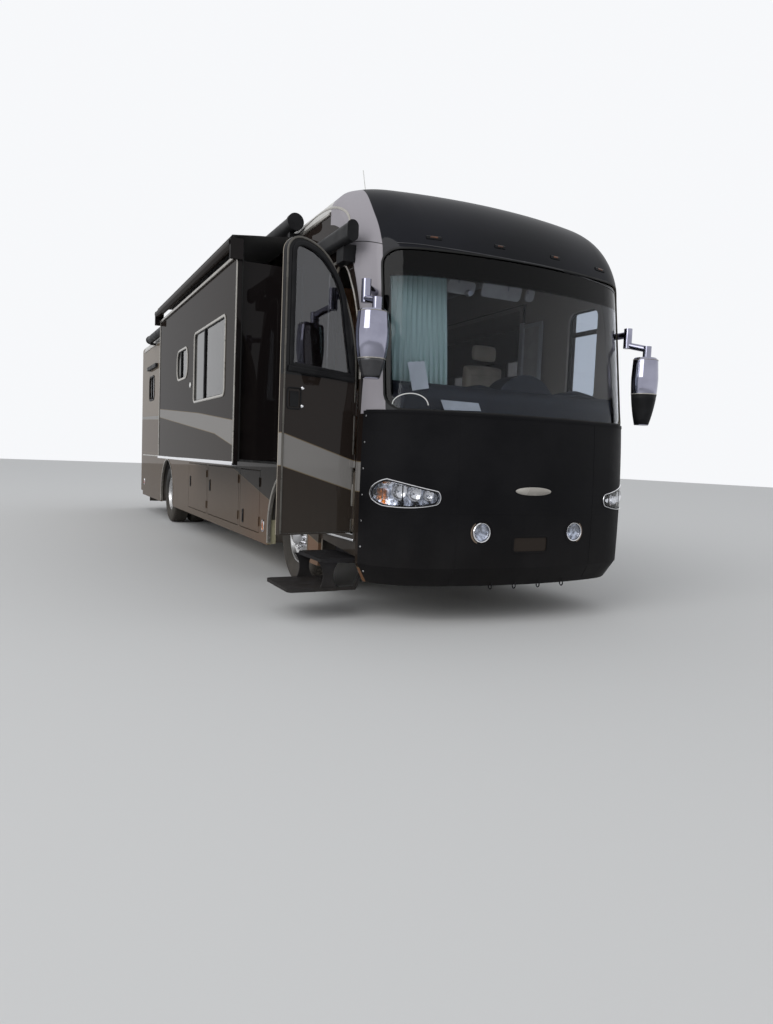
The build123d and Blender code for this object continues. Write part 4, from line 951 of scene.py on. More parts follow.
for island in islandsOf("lamps"):
    places = [corner for face, normal in island for corner in face]
    middle = sum(places, Vector()) / len(places)
    if middle.y > 0:
        centre = (round(middle.x / lamp["rearX"]) * lamp["rearX"], back(lamp["rearBack"]), middle.z)
        colored = amberLenses if middle.z > lamp["amberAbove"] else redLenses
        colored.append(lathe(rearDome, centre, (0, 1, 0), 32))
        rearRims.append(lathe(rearRing, centre, (0, 1, 0), 32, True))
    elif abs(middle.x) < 0.6:
        x, face = math.copysign(lamp["fogX"], middle.x), min(corner.y for corner in places)
        lenses.append(lathe(fogDome, (x, face + 0.014, lamp["fogZ"]), (0, -1, 0), 36))
        bowls.append(lathe(fogCup, (x, face + 0.012, lamp["fogZ"]), (0, -1, 0), 36))
        rims.append(lathe(fogRing, (x, face + 0.010, lamp["fogZ"]), (0, -1, 0), 36, True))
    else:
        lensPart = facesPart(island, lambda normal: normal.y < -0.06)
        lenses.append(lensPart)
        bowls.append(facesPart(island, lambda normal: normal.y >= -0.06))
        loop = evenLoop(edgeLoop(lensPart), 90)
        lensSkin = BVHTree.FromPolygons(*lensPart)
        ups = [lensSkin.find_nearest(point)[1] for point in loop]
        rims.append(sweep(loop, ups, trimBar(lamp["rimWidth"], lamp["rimHeight"], 0.004), True))
        heart = sum(loop, Vector()) / len(loop)
        inner = [lensSkin.find_nearest(point.lerp(heart, 0.075)) for point in loop]
        gaskets.append(skinTrim(inner, trimBar(0.010, 0.002, 0.002), True))
        x = math.copysign(1.065, heart.x)
        divider = [frontOf(lensSkin, x, 0.935 + 0.15 * step / 12) for step in range(13)]
        gaskets.append(skinTrim(divider, trimBar(0.009, 0.002, 0.003)))
headLens = addPiece("lampLenses", lenses, "clearLens")
thicken(headLens, lamp["lensThick"])
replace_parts(headLens, "lamps")
addPiece("lampBowls", bowls, "reflector")
addPiece("lampRims", rims + rearRims, "chrome")
addPiece("lampGaskets", gaskets, "trimPlastic")
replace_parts(addPiece("rearLampLensesRed", redLenses, "redLens"), "lamps")
addPiece("rearLampLensesAmber", amberLenses, "amberLens")

# Reflector cups, bulbs and the amber corner inside each headlamp
lampSkin = skinOf("lamps")
amberSection = [(-0.024, -0.004), (0.024, -0.004), (0.020, 0.003), (0, 0.006), (-0.020, 0.003)]
cups, bulbs, ambers = [], [], []
for side, sign in sides:
    for x, z, radius in ((0.885, 1.012, 0.040), (0.985, 1.022, 0.052), (1.085, 1.035, 0.058)):
        place, normal = frontOf(lampSkin, sign * x, z)
        out = (normal + Vector((0, -1.2, 0))).normalized()
        heart = place - out * 0.034
        cup = [(0.020, radius), (0.006, radius * 0.78), (-0.004, radius * 0.42), (-0.007, 0.008),
               (-0.009, 0.008), (-0.007, radius * 0.45), (0.004, radius * 0.82), (0.018, radius * 1.03)]
        cups.append(lathe(cup, heart, out, 28, True))
        bulbs.append(lathe([(-0.004, 0.006), (0.010, 0.006), (0.016, 0.004), (0.018, 0.0)], heart, out, 12))
    patch = [frontOf(lampSkin, sign * 1.198, 0.968 + 0.085 * step / 8, -0.010) for step in range(9)]
    ambers.append(skinTrim(patch, amberSection))
addPiece("lampCups", cups, "chrome")
addPiece("lampBulbs", bulbs, "clearLens")
addPiece("lampAmbers", ambers, "amberLens")
print("lamps made")

# Wheels: tyre with tread, nut covers and hub covers
axles = {"front": 2.18, "rear": 8.88}
tyre = {
    "radius": 0.506, "treadBase": 0.496, "blocks": 64, "stagger": 2.8, "nutCircle": 0.1427, "nuts": 10,
    "treadRows": ((-0.082, 0.034), (-0.042, 0.032), (0.0, 0.034), (0.042, 0.032), (0.082, 0.034)),
}
tyreProfile = [
    (-0.103, 0.2865), (-0.119, 0.302), (-0.128, 0.322), (-0.1335, 0.345), (-0.1345, 0.352), (-0.1365, 0.356),
    (-0.138, 0.376), (-0.1375, 0.400), (-0.1385, 0.404), (-0.1385, 0.410), (-0.1365, 0.414), (-0.1345, 0.436),
    (-0.129, 0.458), (-0.124, 0.474), (-0.116, 0.488), (-0.104, 0.4945), (-0.06, tyre["treadBase"]),
]
tyreProfile += [(-along, radius) for along, radius in reversed(tyreProfile)]


def ringOf(item, material, count, radius):
    centre = bpy.data.meshes.new("carrier")
    centre.from_pydata([(0, 0, 0)], [], [])
    return growPart(roundAxle, centre, material, Count=count, Radius=radius, Item=item)


def tyrePart(centre):
    parts = [lathe(tyreProfile, centre, (1, 0, 0), 72, True)]
    for number, (along, width) in enumerate(tyre["treadRows"]):
        shoulder = number % 4 == 0
        long, wide = 0.020 if shoulder else 0.018, width / 2
        skew = 0.12 if number < 2 else -0.12
        corners = []
        for x, taper in ((-0.008, 1.0), (0, 0.88)):
            corners += [Vector((x, y * taper + skew * z, z))
                        for y, z in ((-long, -wide), (long, -wide), (long, wide), (-long, wide))]
        item = itemObject((corners, boxFaces), False)
        high = tyre["radius"] - 0.0005 - (0.0035 if shoulder else 0.0)
        band = ringOf(item, "tyreRubber", tyre["blocks"], high)
        bpy.data.objects.remove(item)
        stagger = Matrix.Rotation(math.radians(tyre["stagger"] * (number % 2)), 3, "Z")
        turn = Matrix.Rotation(math.radians(90), 3, "Y") @ stagger
        parts.append(turnPart(band, turn, Vector(centre) + Vector((along, 0, 0))))
    return joinParts(parts)


nutCover = itemObject(lathe([
    (-0.002, 0.0), (-0.002, 0.024), (0.006, 0.024), (0.009, 0.0195), (0.030, 0.0175), (0.046, 0.0150),
    (0.058, 0.0105), (0.064, 0.0)], (0, 0, 0), (0, 0, 1), 12))
wheelRows = (  # axle, plural of its names, tyres' places across, face of the nuts, hub cover's foot and tip
    ("front", "", (1.05,), 0.064, 0.068, 0.1655),
    ("rear", "s", (1.10, 0.77), -0.056, -0.052, 0.0605),
)
for side, sign in sides:
    for name, plural, across, *rest in wheelRows:
        hubs = [Vector((sign * x, back(axles[name]), tyre["radius"])) for x in across]
        tyres = addPiece(f"{name}_{side}_tread_tyre{plural}", [tyrePart(hub) for hub in hubs], "tyreRubber",
                         f"{name}_{side}_wheel{plural}", welded=False)
        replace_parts(tyres, f"{name}_{side}_tyre{plural}")
    for name, plural, across, nutFace, *rest in wheelRows:
        hub = Vector((sign * across[0], back(axles[name]), tyre["radius"]))
        nuts = ringOf(nutCover, "chrome", tyre["nuts"], tyre["nutCircle"])
        turn = Matrix.Rotation(math.radians(90 * sign), 3, "Y")
        nuts = turnPart(nuts, turn, hub + Vector((sign * nutFace, 0, 0)))
        addPiece(f"{name}_{side}_nut_covers", nuts, "chrome", f"{name}_{side}_wheel{plural}")
    for name, plural, across, nutFace, foot, tip in wheelRows:
        hub = Vector((sign * across[0], back(axles[name]), tyre["radius"]))
        cover = [(foot, 0.122), (foot + 0.006, 0.122), (foot + 0.010, 0.117), (tip - 0.050, 0.106),
                 (tip - 0.020, 0.098), (tip - 0.008, 0.088), (tip + 0.0005, 0.072), (tip + 0.0015, 0.058),
                 (tip + 0.0045, 0.050), (tip + 0.0055, 0.0)]
        addPiece(f"{name}_{side}_hub_cover", lathe(cover, hub, (sign, 0, 0)), "chrome",
                 f"{name}_{side}_wheel{plural}")
bpy.data.objects.remove(nutCover)
print("wheels made")

# Windows: a rounded frame round each, a sliding pane in the slide-outs' large one
wallWindows = (  # sides, start, end, low, top, corner
    (("kerb", "driver"), 6.7, 7.5, 2.27, 2.72, 0.09), (("kerb", "driver"), 10.45, 11.05, 2.27, 2.72, 0.09),
    (("driver",), 0.78, 1.20, 1.9, 2.78, 0.09),
)
slideWindows = ((2.27, 3.65, 1.82, 2.56, 0.06), (4.03, 4.65, 2.13, 2.47, 0.12))
slide = {"start": 1.88, "end": 5.95, "low": 1.17, "top": 3.04, "face": 1.915, "paneShare": 0.36}


def sideOutline(sign, out, along, up, width, height, corner, steps=6):
    outline = roundedRectangle(width, height, corner, steps)
    return [Vector((sign * out, back(along) + y, up + z)) for y, z in outline]


def sidePath(sign, out, start, end, low, top, corner, grow=0.0, steps=6):
    return sideOutline(sign, out, (start + end) / 2, (low + top) / 2, end - start + 2 * grow,
                       top - low + 2 * grow, corner + grow, steps)


for side, sign in sides:
    outward = Vector((sign, 0, 0))
    frames = []
    for who, start, end, low, top, corner in wallWindows:
        if side in who:
            path = sidePath(sign, halfWidth, start, end, low, top, corner, 0.006)
            frames.append(sweep(path, outward, trimBar(0.034, 0.010), True))
            middle = start + (end - start) * 0.52
            bar = (((middle - 0.014, middle + 0.014), (low, top)) if start > 5
                   else ((start, end), (2.545, 2.590)))
            frames.append(sideBox(sign, (halfWidth - 0.012, halfWidth + 0.004), *bar))
    addPiece(f"{side}_wall_window_frames", frames, "trimPlastic", bevel=0.001)
    frames, bars, panes = [], [], []
    for window in slideWindows:
        start, end, low, top, corner = window
        parting = end - (end - start) * slide["paneShare"]
        frames.append(sweep(sidePath(sign, slide["face"], *window, 0.004), outward,
                            trimBar(0.026, 0.009), True))
        bars.append(sideBox(sign, (1.895, 1.9185), (parting - 0.016, parting + 0.016),
                            (low - 0.004, top + 0.004)))
        bars.append(sweep(sidePath(sign, 1.905, *window, -0.010), outward, trimBar(0.014, 0.006), True))
        panes.append(sideBox(sign, (1.899, 1.905), (parting, end - 0.012), (low + 0.006, top - 0.006)))
    body = f"{side}_slideout"
    addPiece(f"{side}_slide_window_frames", frames, "paleTrim", body)
    addPiece(f"{side}_slide_window_bars", bars, "trimPlastic", body, 0.001)
    addPiece(f"{side}_slide_sliding_panes", panes, "darkPane", body, 0.0008)

    # Fascia trims, the round fitting between the windows and the roller's pale cover strip
    ends = (slide["start"], slide["end"], slide["low"], slide["top"])
    path = sidePath(sign, slide["face"], *ends, 0.024, -0.012, 3)
    addPiece(f"{side}_slide_edge_trim", sweep(path, outward, trimBar(0.024, 0.008), True), "paleTrim", body)
    sill = sideBox(sign, (1.875, 1.9285), (1.885, 5.945), (1.163, 1.198))
    addPiece(f"{side}_slide_bottom_rail", sill, "chrome", body, 0.004)
    fitting = lathe([(0.0, 0.030), (0.006, 0.030), (0.010, 0.024), (0.011, 0.0)],
                    (sign * slide["face"], back(3.84), 2.02), outward, 24)
    addPiece(f"{side}_slide_fitting", fitting, "whitePlastic", body)
    strip = sideBox(sign, (1.916, 1.935), (1.92, 5.91), (3.005, 3.035))
    addPiece(f"{side}_topper_rail", strip, "paleTrim", body, 0.004)
    seals = [sideBox(sign, (1.858, 1.874), along, (1.20, 3.01)) for along in ((1.882, 1.925), (5.905, 5.948))]
    addPiece(f"{side}_slide_seals", seals, "rubberSeal", body, 0.003)
    path = sidePath(sign, halfWidth, 1.915, 5.915, 1.205, 3.005, 0.03, 0.012)
    addPiece(f"{side}_opening_seal", sweep(path, outward, trimBar(0.034, 0.016), True), "rubberSeal")
print("windows and slide-outs made")

# The entry door's trims, window frame, locks and handle, made square on its outside and then turned with it
doorFace = back(0.568)
doorSwing = Matrix.Rotation(doorTurn, 3, "Z")
forward = Vector((0, -1, 0))


def doorPoint(along, up, out=0.0):
    return Vector((doorHinge[0] - along, doorFace - out, up))


def addToDoor(name, parts, material, bevel=0.0):
    hinge = Vector((*doorHinge, 0))
    part = turnPart(joinParts(parts), doorSwing, hinge - doorSwing @ hinge)
    addPiece("entry_door_" + name, part, material, "entry_door", bevel)


outline = arcChain([(0.010, 0.702), (0.010, 1.8)], ((0.100, 2.395), (0.254, 2.700), 12),
                   ((0.372, 2.800), (0.530, 2.840), 8),
                   ((0.610, 2.806), (0.640, 2.728), 6)) + [(0.640, 0.702)]
path = [doorPoint(along, up) for along, up in outline]
addToDoor("edge_trim", [sweep(path, forward, trimBar(0.016, 0.006), True)], "doorTrim")
pane = arcChain([(0.585, 1.935), (0.044, 1.900), (0.130, 2.380)], ((0.187, 2.570), (0.300, 2.712), 8),
                ((0.400, 2.775), (0.520, 2.800), 6), ((0.568, 2.780), (0.585, 2.735), 4))
path = evenLoop([doorPoint(along, up) for along, up in pane], 90)
lowBar = sweep([doorPoint(0.612, 1.903), doorPoint(0.030, 1.872)], forward, trimBar(0.046, 0.018))
addToDoor("window_frame", [sweep(path, forward, trimBar(0.036, 0.012), True), lowBar], "trimPlastic", 0.0015)
lock = [(0.0, 0.013), (0.005, 0.013), (0.009, 0.009), (0.010, 0.0)]
places = (doorPoint(0.485, 1.769), doorPoint(0.488, 1.637))
addToDoor("locks", [lathe(lock, place, forward, 20) for place in places], "chrome")
recess = [doorPoint(0.556 + x, 1.690 + z) for x, z in roundedRectangle(0.112, 0.150, 0.020, 4)]
paddle = boxPart(doorPoint(0.520, 1.630, 0.001), doorPoint(0.592, 1.742, 0.008))
addToDoor("handle", [sweep(recess, forward, trimBar(0.010, 0.007), True), paddle], "trimPlastic", 0.002)
strip = boxPart(doorPoint(0.0015, 0.852, -0.002), doorPoint(0.013, 1.069, 0.007))
addToDoor("hinge_strip", [strip], "paleTrim", 0.002)
addToDoor("inner_panels", [sideBox(-1, (1.345, 1.905), (0.6185, 0.6235), (0.74, 1.30)),
                           sideBox(-1, (1.36, 1.89), (0.6185, 0.631), (1.42, 1.50))], "dashSkin", 0.006)

# Doorway: a pale moulding round it on the wall, a rubber seal inside, the sill strip and the tread plates
opening = arcChain([(0.0, 0.70), (0.0, 1.8)], ((0.09, 2.4), (0.25, 2.71), 12),
                   ((0.37, 2.81), (0.53, 2.85), 8), ((0.615, 2.815), (0.65, 2.73), 6)) + [(0.65, 0.70)]


def aroundDoorway(x, grow):
    path = []
    for along, up in opening:
        aside = grow if along > 0.5 else -grow if up < 2.6 else 0
        path.append(Vector((x, back(0.56 + along + aside), up + (grow if up > 2.6 else 0))))
    return path


outside = Vector((-1, 0, 0))
path = aroundDoorway(-halfWidth - 0.001, 0.022)[2:]
addPiece("doorway_moulding", sweep(path, outside, trimBar(0.022, 0.006)), "paleTrim")
lip = [(-0.012, -0.03), (0.012, -0.03), (0.016, 0.014), (-0.004, 0.022)]
addPiece("doorway_seal", sweep(aroundDoorway(-1.262, 0.014), outside, lip), "rubberSeal")
sill = sideBox(-1, (1.303, 1.285), (0.545, 1.298), (0.622, 0.642))
addPiece("doorway_sill_strip", sill, "chrome", bevel=0.004)
plates = [sideBox(-1, (1.30, 1.0), (0.562, 1.208), (0.672, 0.682)),
          sideBox(-1, (0.985, 0.72), (0.562, 1.208), (0.901, 0.911))]
addPiece("stepwell_tread_plates", plates, "brushedAlloy", bevel=0.002)
print("entry door and doorway made")

# Mirrors: glass set in the back, a ring round the head and a dark lower part
mirrorFlat = 0.028
headRows = ((0.060, 0.0), (0.102, 0.3), (0.122, 0.7), (0.112, 0.97), (0.096, 1.0))
mirrorRows = (  # x, distance behind the nose, low end, height, ring's share of the height
    (-1.38, 0.15, 1.845, 0.485, 0.29), (1.28, 0.19, 1.66, 0.585, 0.46))


def headRadius(share, height):
    if share >= 0.7:
        for (r0, s0), (r1, s1) in zip(headRows[2:], headRows[3:]):
            if share <= s1:
                return r0 + (r1 - r0) * (share - s0) / (s1 - s0)
    arc = arcThrough(*[(radius, part * height) for radius, part in headRows[:3]], 24)
    for (r0, z0), (r1, z1) in zip(arc, arc[1:]):
        if z0 <= share * height <= z1 + 1e-9:
            return r0 + (r1 - r0) * (share * height - z0) / max(z1 - z0, 1e-9)
    return headRows[2][0]


glassParts, ringParts, shellParts, bezelParts = [], [], [], []
for x, distance, low, height, ringShare in mirrorRows:
    def headPoint(share, turn, grow=0.0):
        radius = headRadius(share, height) + grow
        return Vector((x + radius * math.sin(turn), back(distance) - radius * math.cos(turn),
                       low + share * height))

    def headReach(share):
        return math.acos(max(-1, -mirrorFlat / headRadius(share, height)))

    y = back(distance + 0.0225)
    for first, last in ((0.05, 0.285), (0.315, 0.955)):
        half = []
        for step in range(11):
            share = first + (last - first) * step / 10
            wide = math.sqrt(headRadius(share, height) ** 2 - mirrorFlat ** 2) - 0.014
            half.append((wide, low + share * height))
        outline = half + [(-a, z) for a, z in reversed(half)]
        glassParts.append(slabPart([Vector((x + a, y, z)) for a, z in outline], (0, 0.0025, 0)))
        loop = evenLoop([Vector((x + a, y + 0.002, z)) for a, z in outline], 60)
        bezelParts.append(sweep(loop, Vector((0, 1, 0)), trimBar(0.008, 0.004, 0.001), True))
    for share, width in ((ringShare, 0.008), (0.965, 0.005)):
        reach = headReach(share)
        turns = [-reach + 2 * reach * step / 30 for step in range(31)]
        ups = [Vector((math.sin(turn), -math.cos(turn), 0)) for turn in turns]
        ringParts.append(sweep([headPoint(share, turn) for turn in turns], ups, trimBar(width, 0.003, 0.002)))
    corners = []
    for level in range(7):
        share = 0.012 + (ringShare - 0.012) * level / 6
        reach = headReach(share) - 0.04
        corners += [headPoint(share, -reach + 2 * reach * step / 24, 0.0012) for step in range(25)]
    shellParts.append((corners, gridFaces(7, 25, False, False)))
addPiece("mirror_glass", glassParts, "mirrorGlass")
addPiece("mirror_bezels", bezelParts, "trimPlastic")
addPiece("mirror_rings", ringParts, "paleTrim")
for (side, sign), shell, material in zip(sides, shellParts, ("smokeTrim", "trimPlastic")):
    thicken(addPiece(f"{side}_mirror_lower_shell", shell, material), 0.002)

# The mask: top hem, seams, lamp and plate hems, snaps down both side edges and hooks under it
mask = {"top": 1.634, "seamLevel": 0.885, "snapSpacing": 0.185, "lampHem": 0.0975}
maskSkin = skinOf("front_mask")
seamBar = trimBar(0.007, 0.0018, 0.001)
hems = [skinTrim(aroundNose(maskSkin, mask["top"], -1.30, 1.30, 64), trimBar(0.026, 0.0042, 0.002)),
        skinTrim(aroundNose(maskSkin, mask["seamLevel"], -1.19, 1.19, 64), seamBar)]
for x in (-0.66, 0.66):
    seam = [frontOf(maskSkin, x, 0.34 + 1.28 * step / 40) for step in range(41)]
    hems.append(skinTrim([found for found in seam if found and found[0].y < back(0.3)], seamBar))


def hemAround(outline, count, section):
    loop = evenLoop([Vector((x, 0, z)) for x, z in outline], count)
    return skinTrim([frontOf(maskSkin, point.x, point.z) for point in loop], section, True)


plate = [(x, z + 0.645) for x, z in roundedRectangle(0.342, 0.132, 0.026, 5)]
hems.append(hemAround(plate, 64, trimBar(0.014, 0.003, 0.002)))
turns = [math.tau * step / 40 for step in range(40)]
for x in (-lamp["fogX"], lamp["fogX"]):
    circle = [(x + mask["lampHem"] * math.cos(turn), lamp["fogZ"] + mask["lampHem"] * math.sin(turn))
              for turn in turns]
    hems.append(hemAround(circle, 48, trimBar(0.010, 0.003, 0.002)))
addPiece("mask_hems", hems, "maskVinyl")
snap = itemObject(lathe([(-0.001, 0.0085), (0.0015, 0.0085), (0.0035, 0.0065), (0.0042, 0.0)],
                        (0, 0, 0), (0, 0, 1), 10))
snaps = []
for sign in (-1, 1):
    heights = [0.40 + 1.2 * step / 20 for step in range(21)]
    edge = [onSkin(maskSkin, (sign * 3, back(0.463), height), (-sign, 0, 0)) for height in heights]
    carrier = pathMesh([found for found in edge if found])
    snaps.append(growPart(alongPath, carrier, "brushedAlloy", Spacing=mask["snapSpacing"], Item=snap))
addPiece("mask_snaps", snaps, "brushedAlloy")
bpy.data.objects.remove(snap)
hooks = []
for x in (-0.30, -0.08, 0.16, 0.42):
    y = frontOf(maskSkin, x, 0.345)[0].y
    bend = ((-0.002, 0.335), (-0.004, 0.300), (0.012, 0.284), (0.030, 0.292), (0.034, 0.315))
    hooks.append(tubePart(smoothRoute([(x, y + along, z) for along, z in bend]), 0.005, 8))
addPiece("mask_hooks", hooks, "trimPlastic")
fogCollar = [(-0.006, 0.081), (0.006, 0.083), (0.006, 0.093), (-0.004, 0.098), (-0.020, 0.098),
             (-0.020, 0.081)]
rings = []
for x in (-lamp["fogX"], lamp["fogX"]):
    y = frontOf(maskSkin, x + math.copysign(0.09, x), lamp["fogZ"])[0].y
    rings.append(lathe(fogCollar, (x, y, lamp["fogZ"]), (0, -1, 0), 40, True))
addPiece("fog_lamp_rings", rings, "ringBronze")

# The bare oval badge place
oval = {"wide": 0.172, "high": 0.033, "level": 1.066}
rings = []
for share, stand in ((1.0, -0.002), (1.0, 0.005), (0.9, 0.0085), (0.6, 0.010), (0.25, 0.011)):
    rings.append([frontOf(maskSkin, oval["wide"] * share * math.cos(turn),
                          oval["level"] + oval["high"] * share * math.sin(turn), stand)[0] for turn in turns])
addPiece("oval_plate", loftPart(rings, False), "paleTrim")
print("mask dressed")

# Windscreen seal, the brow line over it and the low marker lamps
frontSkin = skinOf("windshield", "front_cap")
glassPath = evenLoop([Vector((x, 0, z + 2.26)) for x, z in roundedRectangle(2.346, 1.218, 0.11, 8)], 220)
found = [frontOf(frontSkin, point.x, point.z) for point in glassPath]
addPiece("windscreen_seal", skinTrim(found, trimBar(0.016, 0.003, 0.002), True), "rubberSeal")


def browHeight(x):
    return 2.872 + (0.035 if x < 0 else -0.05) * (x / 1.17) ** 2


found = aroundNose(frontSkin, browHeight, -1.175, 1.175, 70)
addPiece("brow_line", skinTrim(found, trimBar(0.008, 0.005, 0.003)), "smokeTrim")
baseSection = [(-0.018, -0.006), (0.018, -0.006), (0.015, 0.006), (-0.003, 0.011), (-0.015, 0.005)]
coverSection = [(-0.009, 0.003), (0.009, 0.003), (0.007, 0.012), (-0.005, 0.0135)]
lampBases, lampCovers = [], []
for x in (-0.94, -0.34, 0.34, 0.94):
    found = aroundNose(frontSkin, 2.965, x - 0.055, x + 0.055, 8)
    lampBases.append(skinTrim(found, baseSection))
    lampCovers.append(skinTrim(found[2:-2], coverSection))
addPiece("marker_lamp_bases", lampBases, "trimPlastic", bevel=0.001)
addPiece("marker_lamp_covers", lampCovers, "smokedAmber", bevel=0.001)

# Latches ride on the bay doors; side markers, arches, belt and gutter on the coach
bays = (("front", 3.10, 3.92, 3.77), ("mid", 3.98, 5.62, 5.49), ("rear", 5.68, 6.95, 6.81))
arch = {
    "radius": 0.618, "foot": 0.345, "level": 0.506, "linerFace": 1.252,
    "linerDepth": {"front": 0.56, "rear": 0.78},
}
archSection = [(-0.003, -0.030), (0.020, -0.030), (0.022, 0.003), (0.014, 0.009), (0.0, 0.009)]
mirroredSection = [(-a, b) for a, b in archSection[1::-1] + archSection[:1:-1]]
turns = [math.pi * step / 40 for step in range(41)]
archLine = [(-arch["radius"] * math.cos(turn), arch["level"] + arch["radius"] * math.sin(turn))
            for turn in turns]
archLine = [(-arch["radius"], arch["foot"])] + archLine + [(arch["radius"], arch["foot"])]
for side, sign in sides:
    outward = Vector((sign, 0, 0))
    for name, start, end, latch in bays:
        body = f"{side}_bay_door_{name}"
        up = 0.55 if name == "front" else 0.82
        path = sideOutline(sign, halfWidth, latch, up, 0.052, 0.150, 0.016, 4)
        bezel = sweep(path, outward, trimBar(0.010, 0.007), True)
        cup = sideBox(sign, (halfWidth - 0.004, halfWidth + 0.003), (latch - 0.022, latch + 0.022),
                      (up - 0.070, up + 0.070))
        paddle = sideBox(sign, (halfWidth + 0.002, halfWidth + 0.011), (latch - 0.015, latch + 0.015),
                         (up - 0.055, up + 0.030))
        addPiece(f"{side}_bay_latch_{name}", [bezel, cup, paddle], "trimPlastic", body, 0.0015)
        path = sideOutline(sign, halfWidth - 0.0008, (start + end) / 2, 0.755, end - start - 0.030, 0.664,
                           0.012, 2)
        seal = sweep(path, outward, trimBar(0.003, 0.0008, 0.001), True)
        addPiece(f"{side}_bay_seal_{name}", seal, "rubberSeal", body)
    for number, (distance, height, lens) in enumerate(((2.952, 0.51, "amberLens"), (11.55, 0.60, "redLens"))):
        outline = roundedRectangle(0.120, 0.062, 0.026, 5)
        path = [Vector((sign * halfWidth, back(distance) + z, height + y)) for y, z in outline]
        addPiece(f"{side}_marker_bezel_{number}", sweep(path, outward, trimBar(0.014, 0.010), True), "chrome")
        rings = []
        for share, stand in ((0.86, 0.002), (0.80, 0.010), (0.5, 0.014), (0.2, 0.015)):
            rings.append([Vector((sign * (halfWidth + stand), back(distance) + z * share, height + y * share))
                          for y, z in outline])
        addPiece(f"{side}_marker_lens_{number}", loftPart(rings), lens)

    # Arch rims, the pale face behind the front wheel, the wheelhouse liners, belt and gutter
    archRims, liners = [], []
    for name, distance in axles.items():
        path = [Vector((sign * (halfWidth - 0.001), back(distance) + y, z)) for y, z in archLine]
        archRims.append(sweep(path, outward, archSection if sign > 0 else mirroredSection))
        reaches = (arch["linerFace"], arch["linerFace"] - arch["linerDepth"][name])
        corners = [Vector((sign * x, back(distance) + y, z)) for y, z in archLine for x in reaches]
        liners.append((corners, gridFaces(len(archLine), 2, False, False)))
    addPiece(f"{side}_arch_rims", archRims, "paleTrim")
    thicken(addPiece(f"{side}_wheelhouse_liners", liners, "frameBlack"), 0.002, 1)
    face = sideBox(sign, (1.200, 1.290), (2.7925, 2.7975), (0.330, 0.80))
    addPiece(f"{side}_arch_inner_face", face, "innerArch", bevel=0.002)
    beltBar, gutterBar = trimBar(0.022, 0.008), trimBar(0.030, 0.014)
    bars = []
    for start, end, out, up, section in (
            (5.965, 11.79, halfWidth, 1.158, beltBar),
            (1.33 if sign < 0 else 0.56, 1.862, halfWidth, 1.158, beltBar),
            (1.26, 11.78, halfWidth - 0.002, 3.315, gutterBar)):
        bars.append(sweep([Vector((sign * out, back(along), up)) for along in (start, end)], outward,
                          section))
    addPiece(f"{side}_belt_and_gutter", bars, "paleTrim")
print("sides dressed")

# Topper fabric: a drawn sheet each side, sagging a little between the wall and the roller
topper = {"wallZ": 3.286, "edgeX": 1.963, "edgeZ": 3.193, "sag": 0.012, "thick": 0.0022, "keep": 0.15}


def closedSheet(rows, depth):
    down, across = len(rows), len(rows[0])
    corners = []
    for share in (0.5, -0.5):
        for i in range(down):
            for j in range(across):
                a = rows[min(i + 1, down - 1)][j] - rows[max(i - 1, 0)][j]
                b = rows[i][min(j + 1, across - 1)] - rows[i][max(j - 1, 0)]
                corners.append(rows[i][j] + a.cross(b).normalized() * depth * share)
    size, faces = down * across, []
    for a, b, c, d in gridFaces(down, across, False, False):
        faces += [(a, b, c, d), (size + d, size + c, size + b, size + a)]
    rim = list(range(across)) + [i * across + across - 1 for i in range(1, down)]
    rim += [(down - 1) * across + j for j in range(across - 2, -1, -1)]
    rim += [i * across for i in range(down - 2, 0, -1)]
    faces += [(first, size + first, size + second, second) for first, second in zip(rim, rim[1:] + rim[:1])]
    return corners, faces


for side, sign in sides:
    rows = []
    for i in range(41):
        along = slide["start"] + 0.02 + (slide["end"] - slide["start"] - 0.04) * i / 40
        row = []
        for j in range(13):
            share = j / 12
            x = halfWidth + 0.001 + (topper["edgeX"] - halfWidth) * share
            z = topper["wallZ"] + (topper["edgeZ"] - topper["wallZ"]) * share
            z -= topper["sag"] * math.sin(math.pi * share) * (0.7 + 0.3 * math.sin(i * 0.9 + j * 0.5))
            row.append(Vector((sign * x, back(along), z)))
        rows.append(row)
    sheet = addPiece(f"{side}_topper_sheet", closedSheet(rows, topper["thick"]), "awningFabric", welded=False)
    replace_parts(sheet, "topper_fabric")
    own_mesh(sheet)

# Pleated curtain, gathered on its rail and a little wider at the foot
curtain = {
    "left": -1.108, "right": -0.592, "middle": 0.495, "top": 2.752, "foot": 1.892, "pleats": 12,
    "deep": 0.019, "flare": 0.045, "thick": 0.0016,
}
rows = []
for i in range(29):
    drop = i / 28
    wide = curtain["right"] + curtain["flare"] * drop - curtain["left"]
    row = []
    for j in range(133):
        share = j / 132
        turn = math.tau * curtain["pleats"] * share
        deep = curtain["deep"] * (0.75 + 0.25 * math.sin(3.1 * share + 5 * drop)) * (0.8 + 0.2 * drop)
        x = curtain["left"] + wide * share + 0.006 * math.sin(2 * turn + 2 * drop)
        y = back(curtain["middle"]) + deep * math.sin(turn + 0.5 * math.sin(4 * share + 2.2 * drop))
        row.append(Vector((x, y, curtain["top"] + (curtain["foot"] - curtain["top"]) * drop)))
    rows.append(row)
drape = addPiece("pleated_curtain", closedSheet(rows, curtain["thick"]), "curtainCloth", welded=False)
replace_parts(drape, "curtain")
print("sheets made")

# Seats: pressed pads from a cloth simulation, run once and set at both places
seats = {"places": (0.62, -0.38), "voxel": 0.010, "pressure": 4.0, "frames": 20, "cap": 0.022}


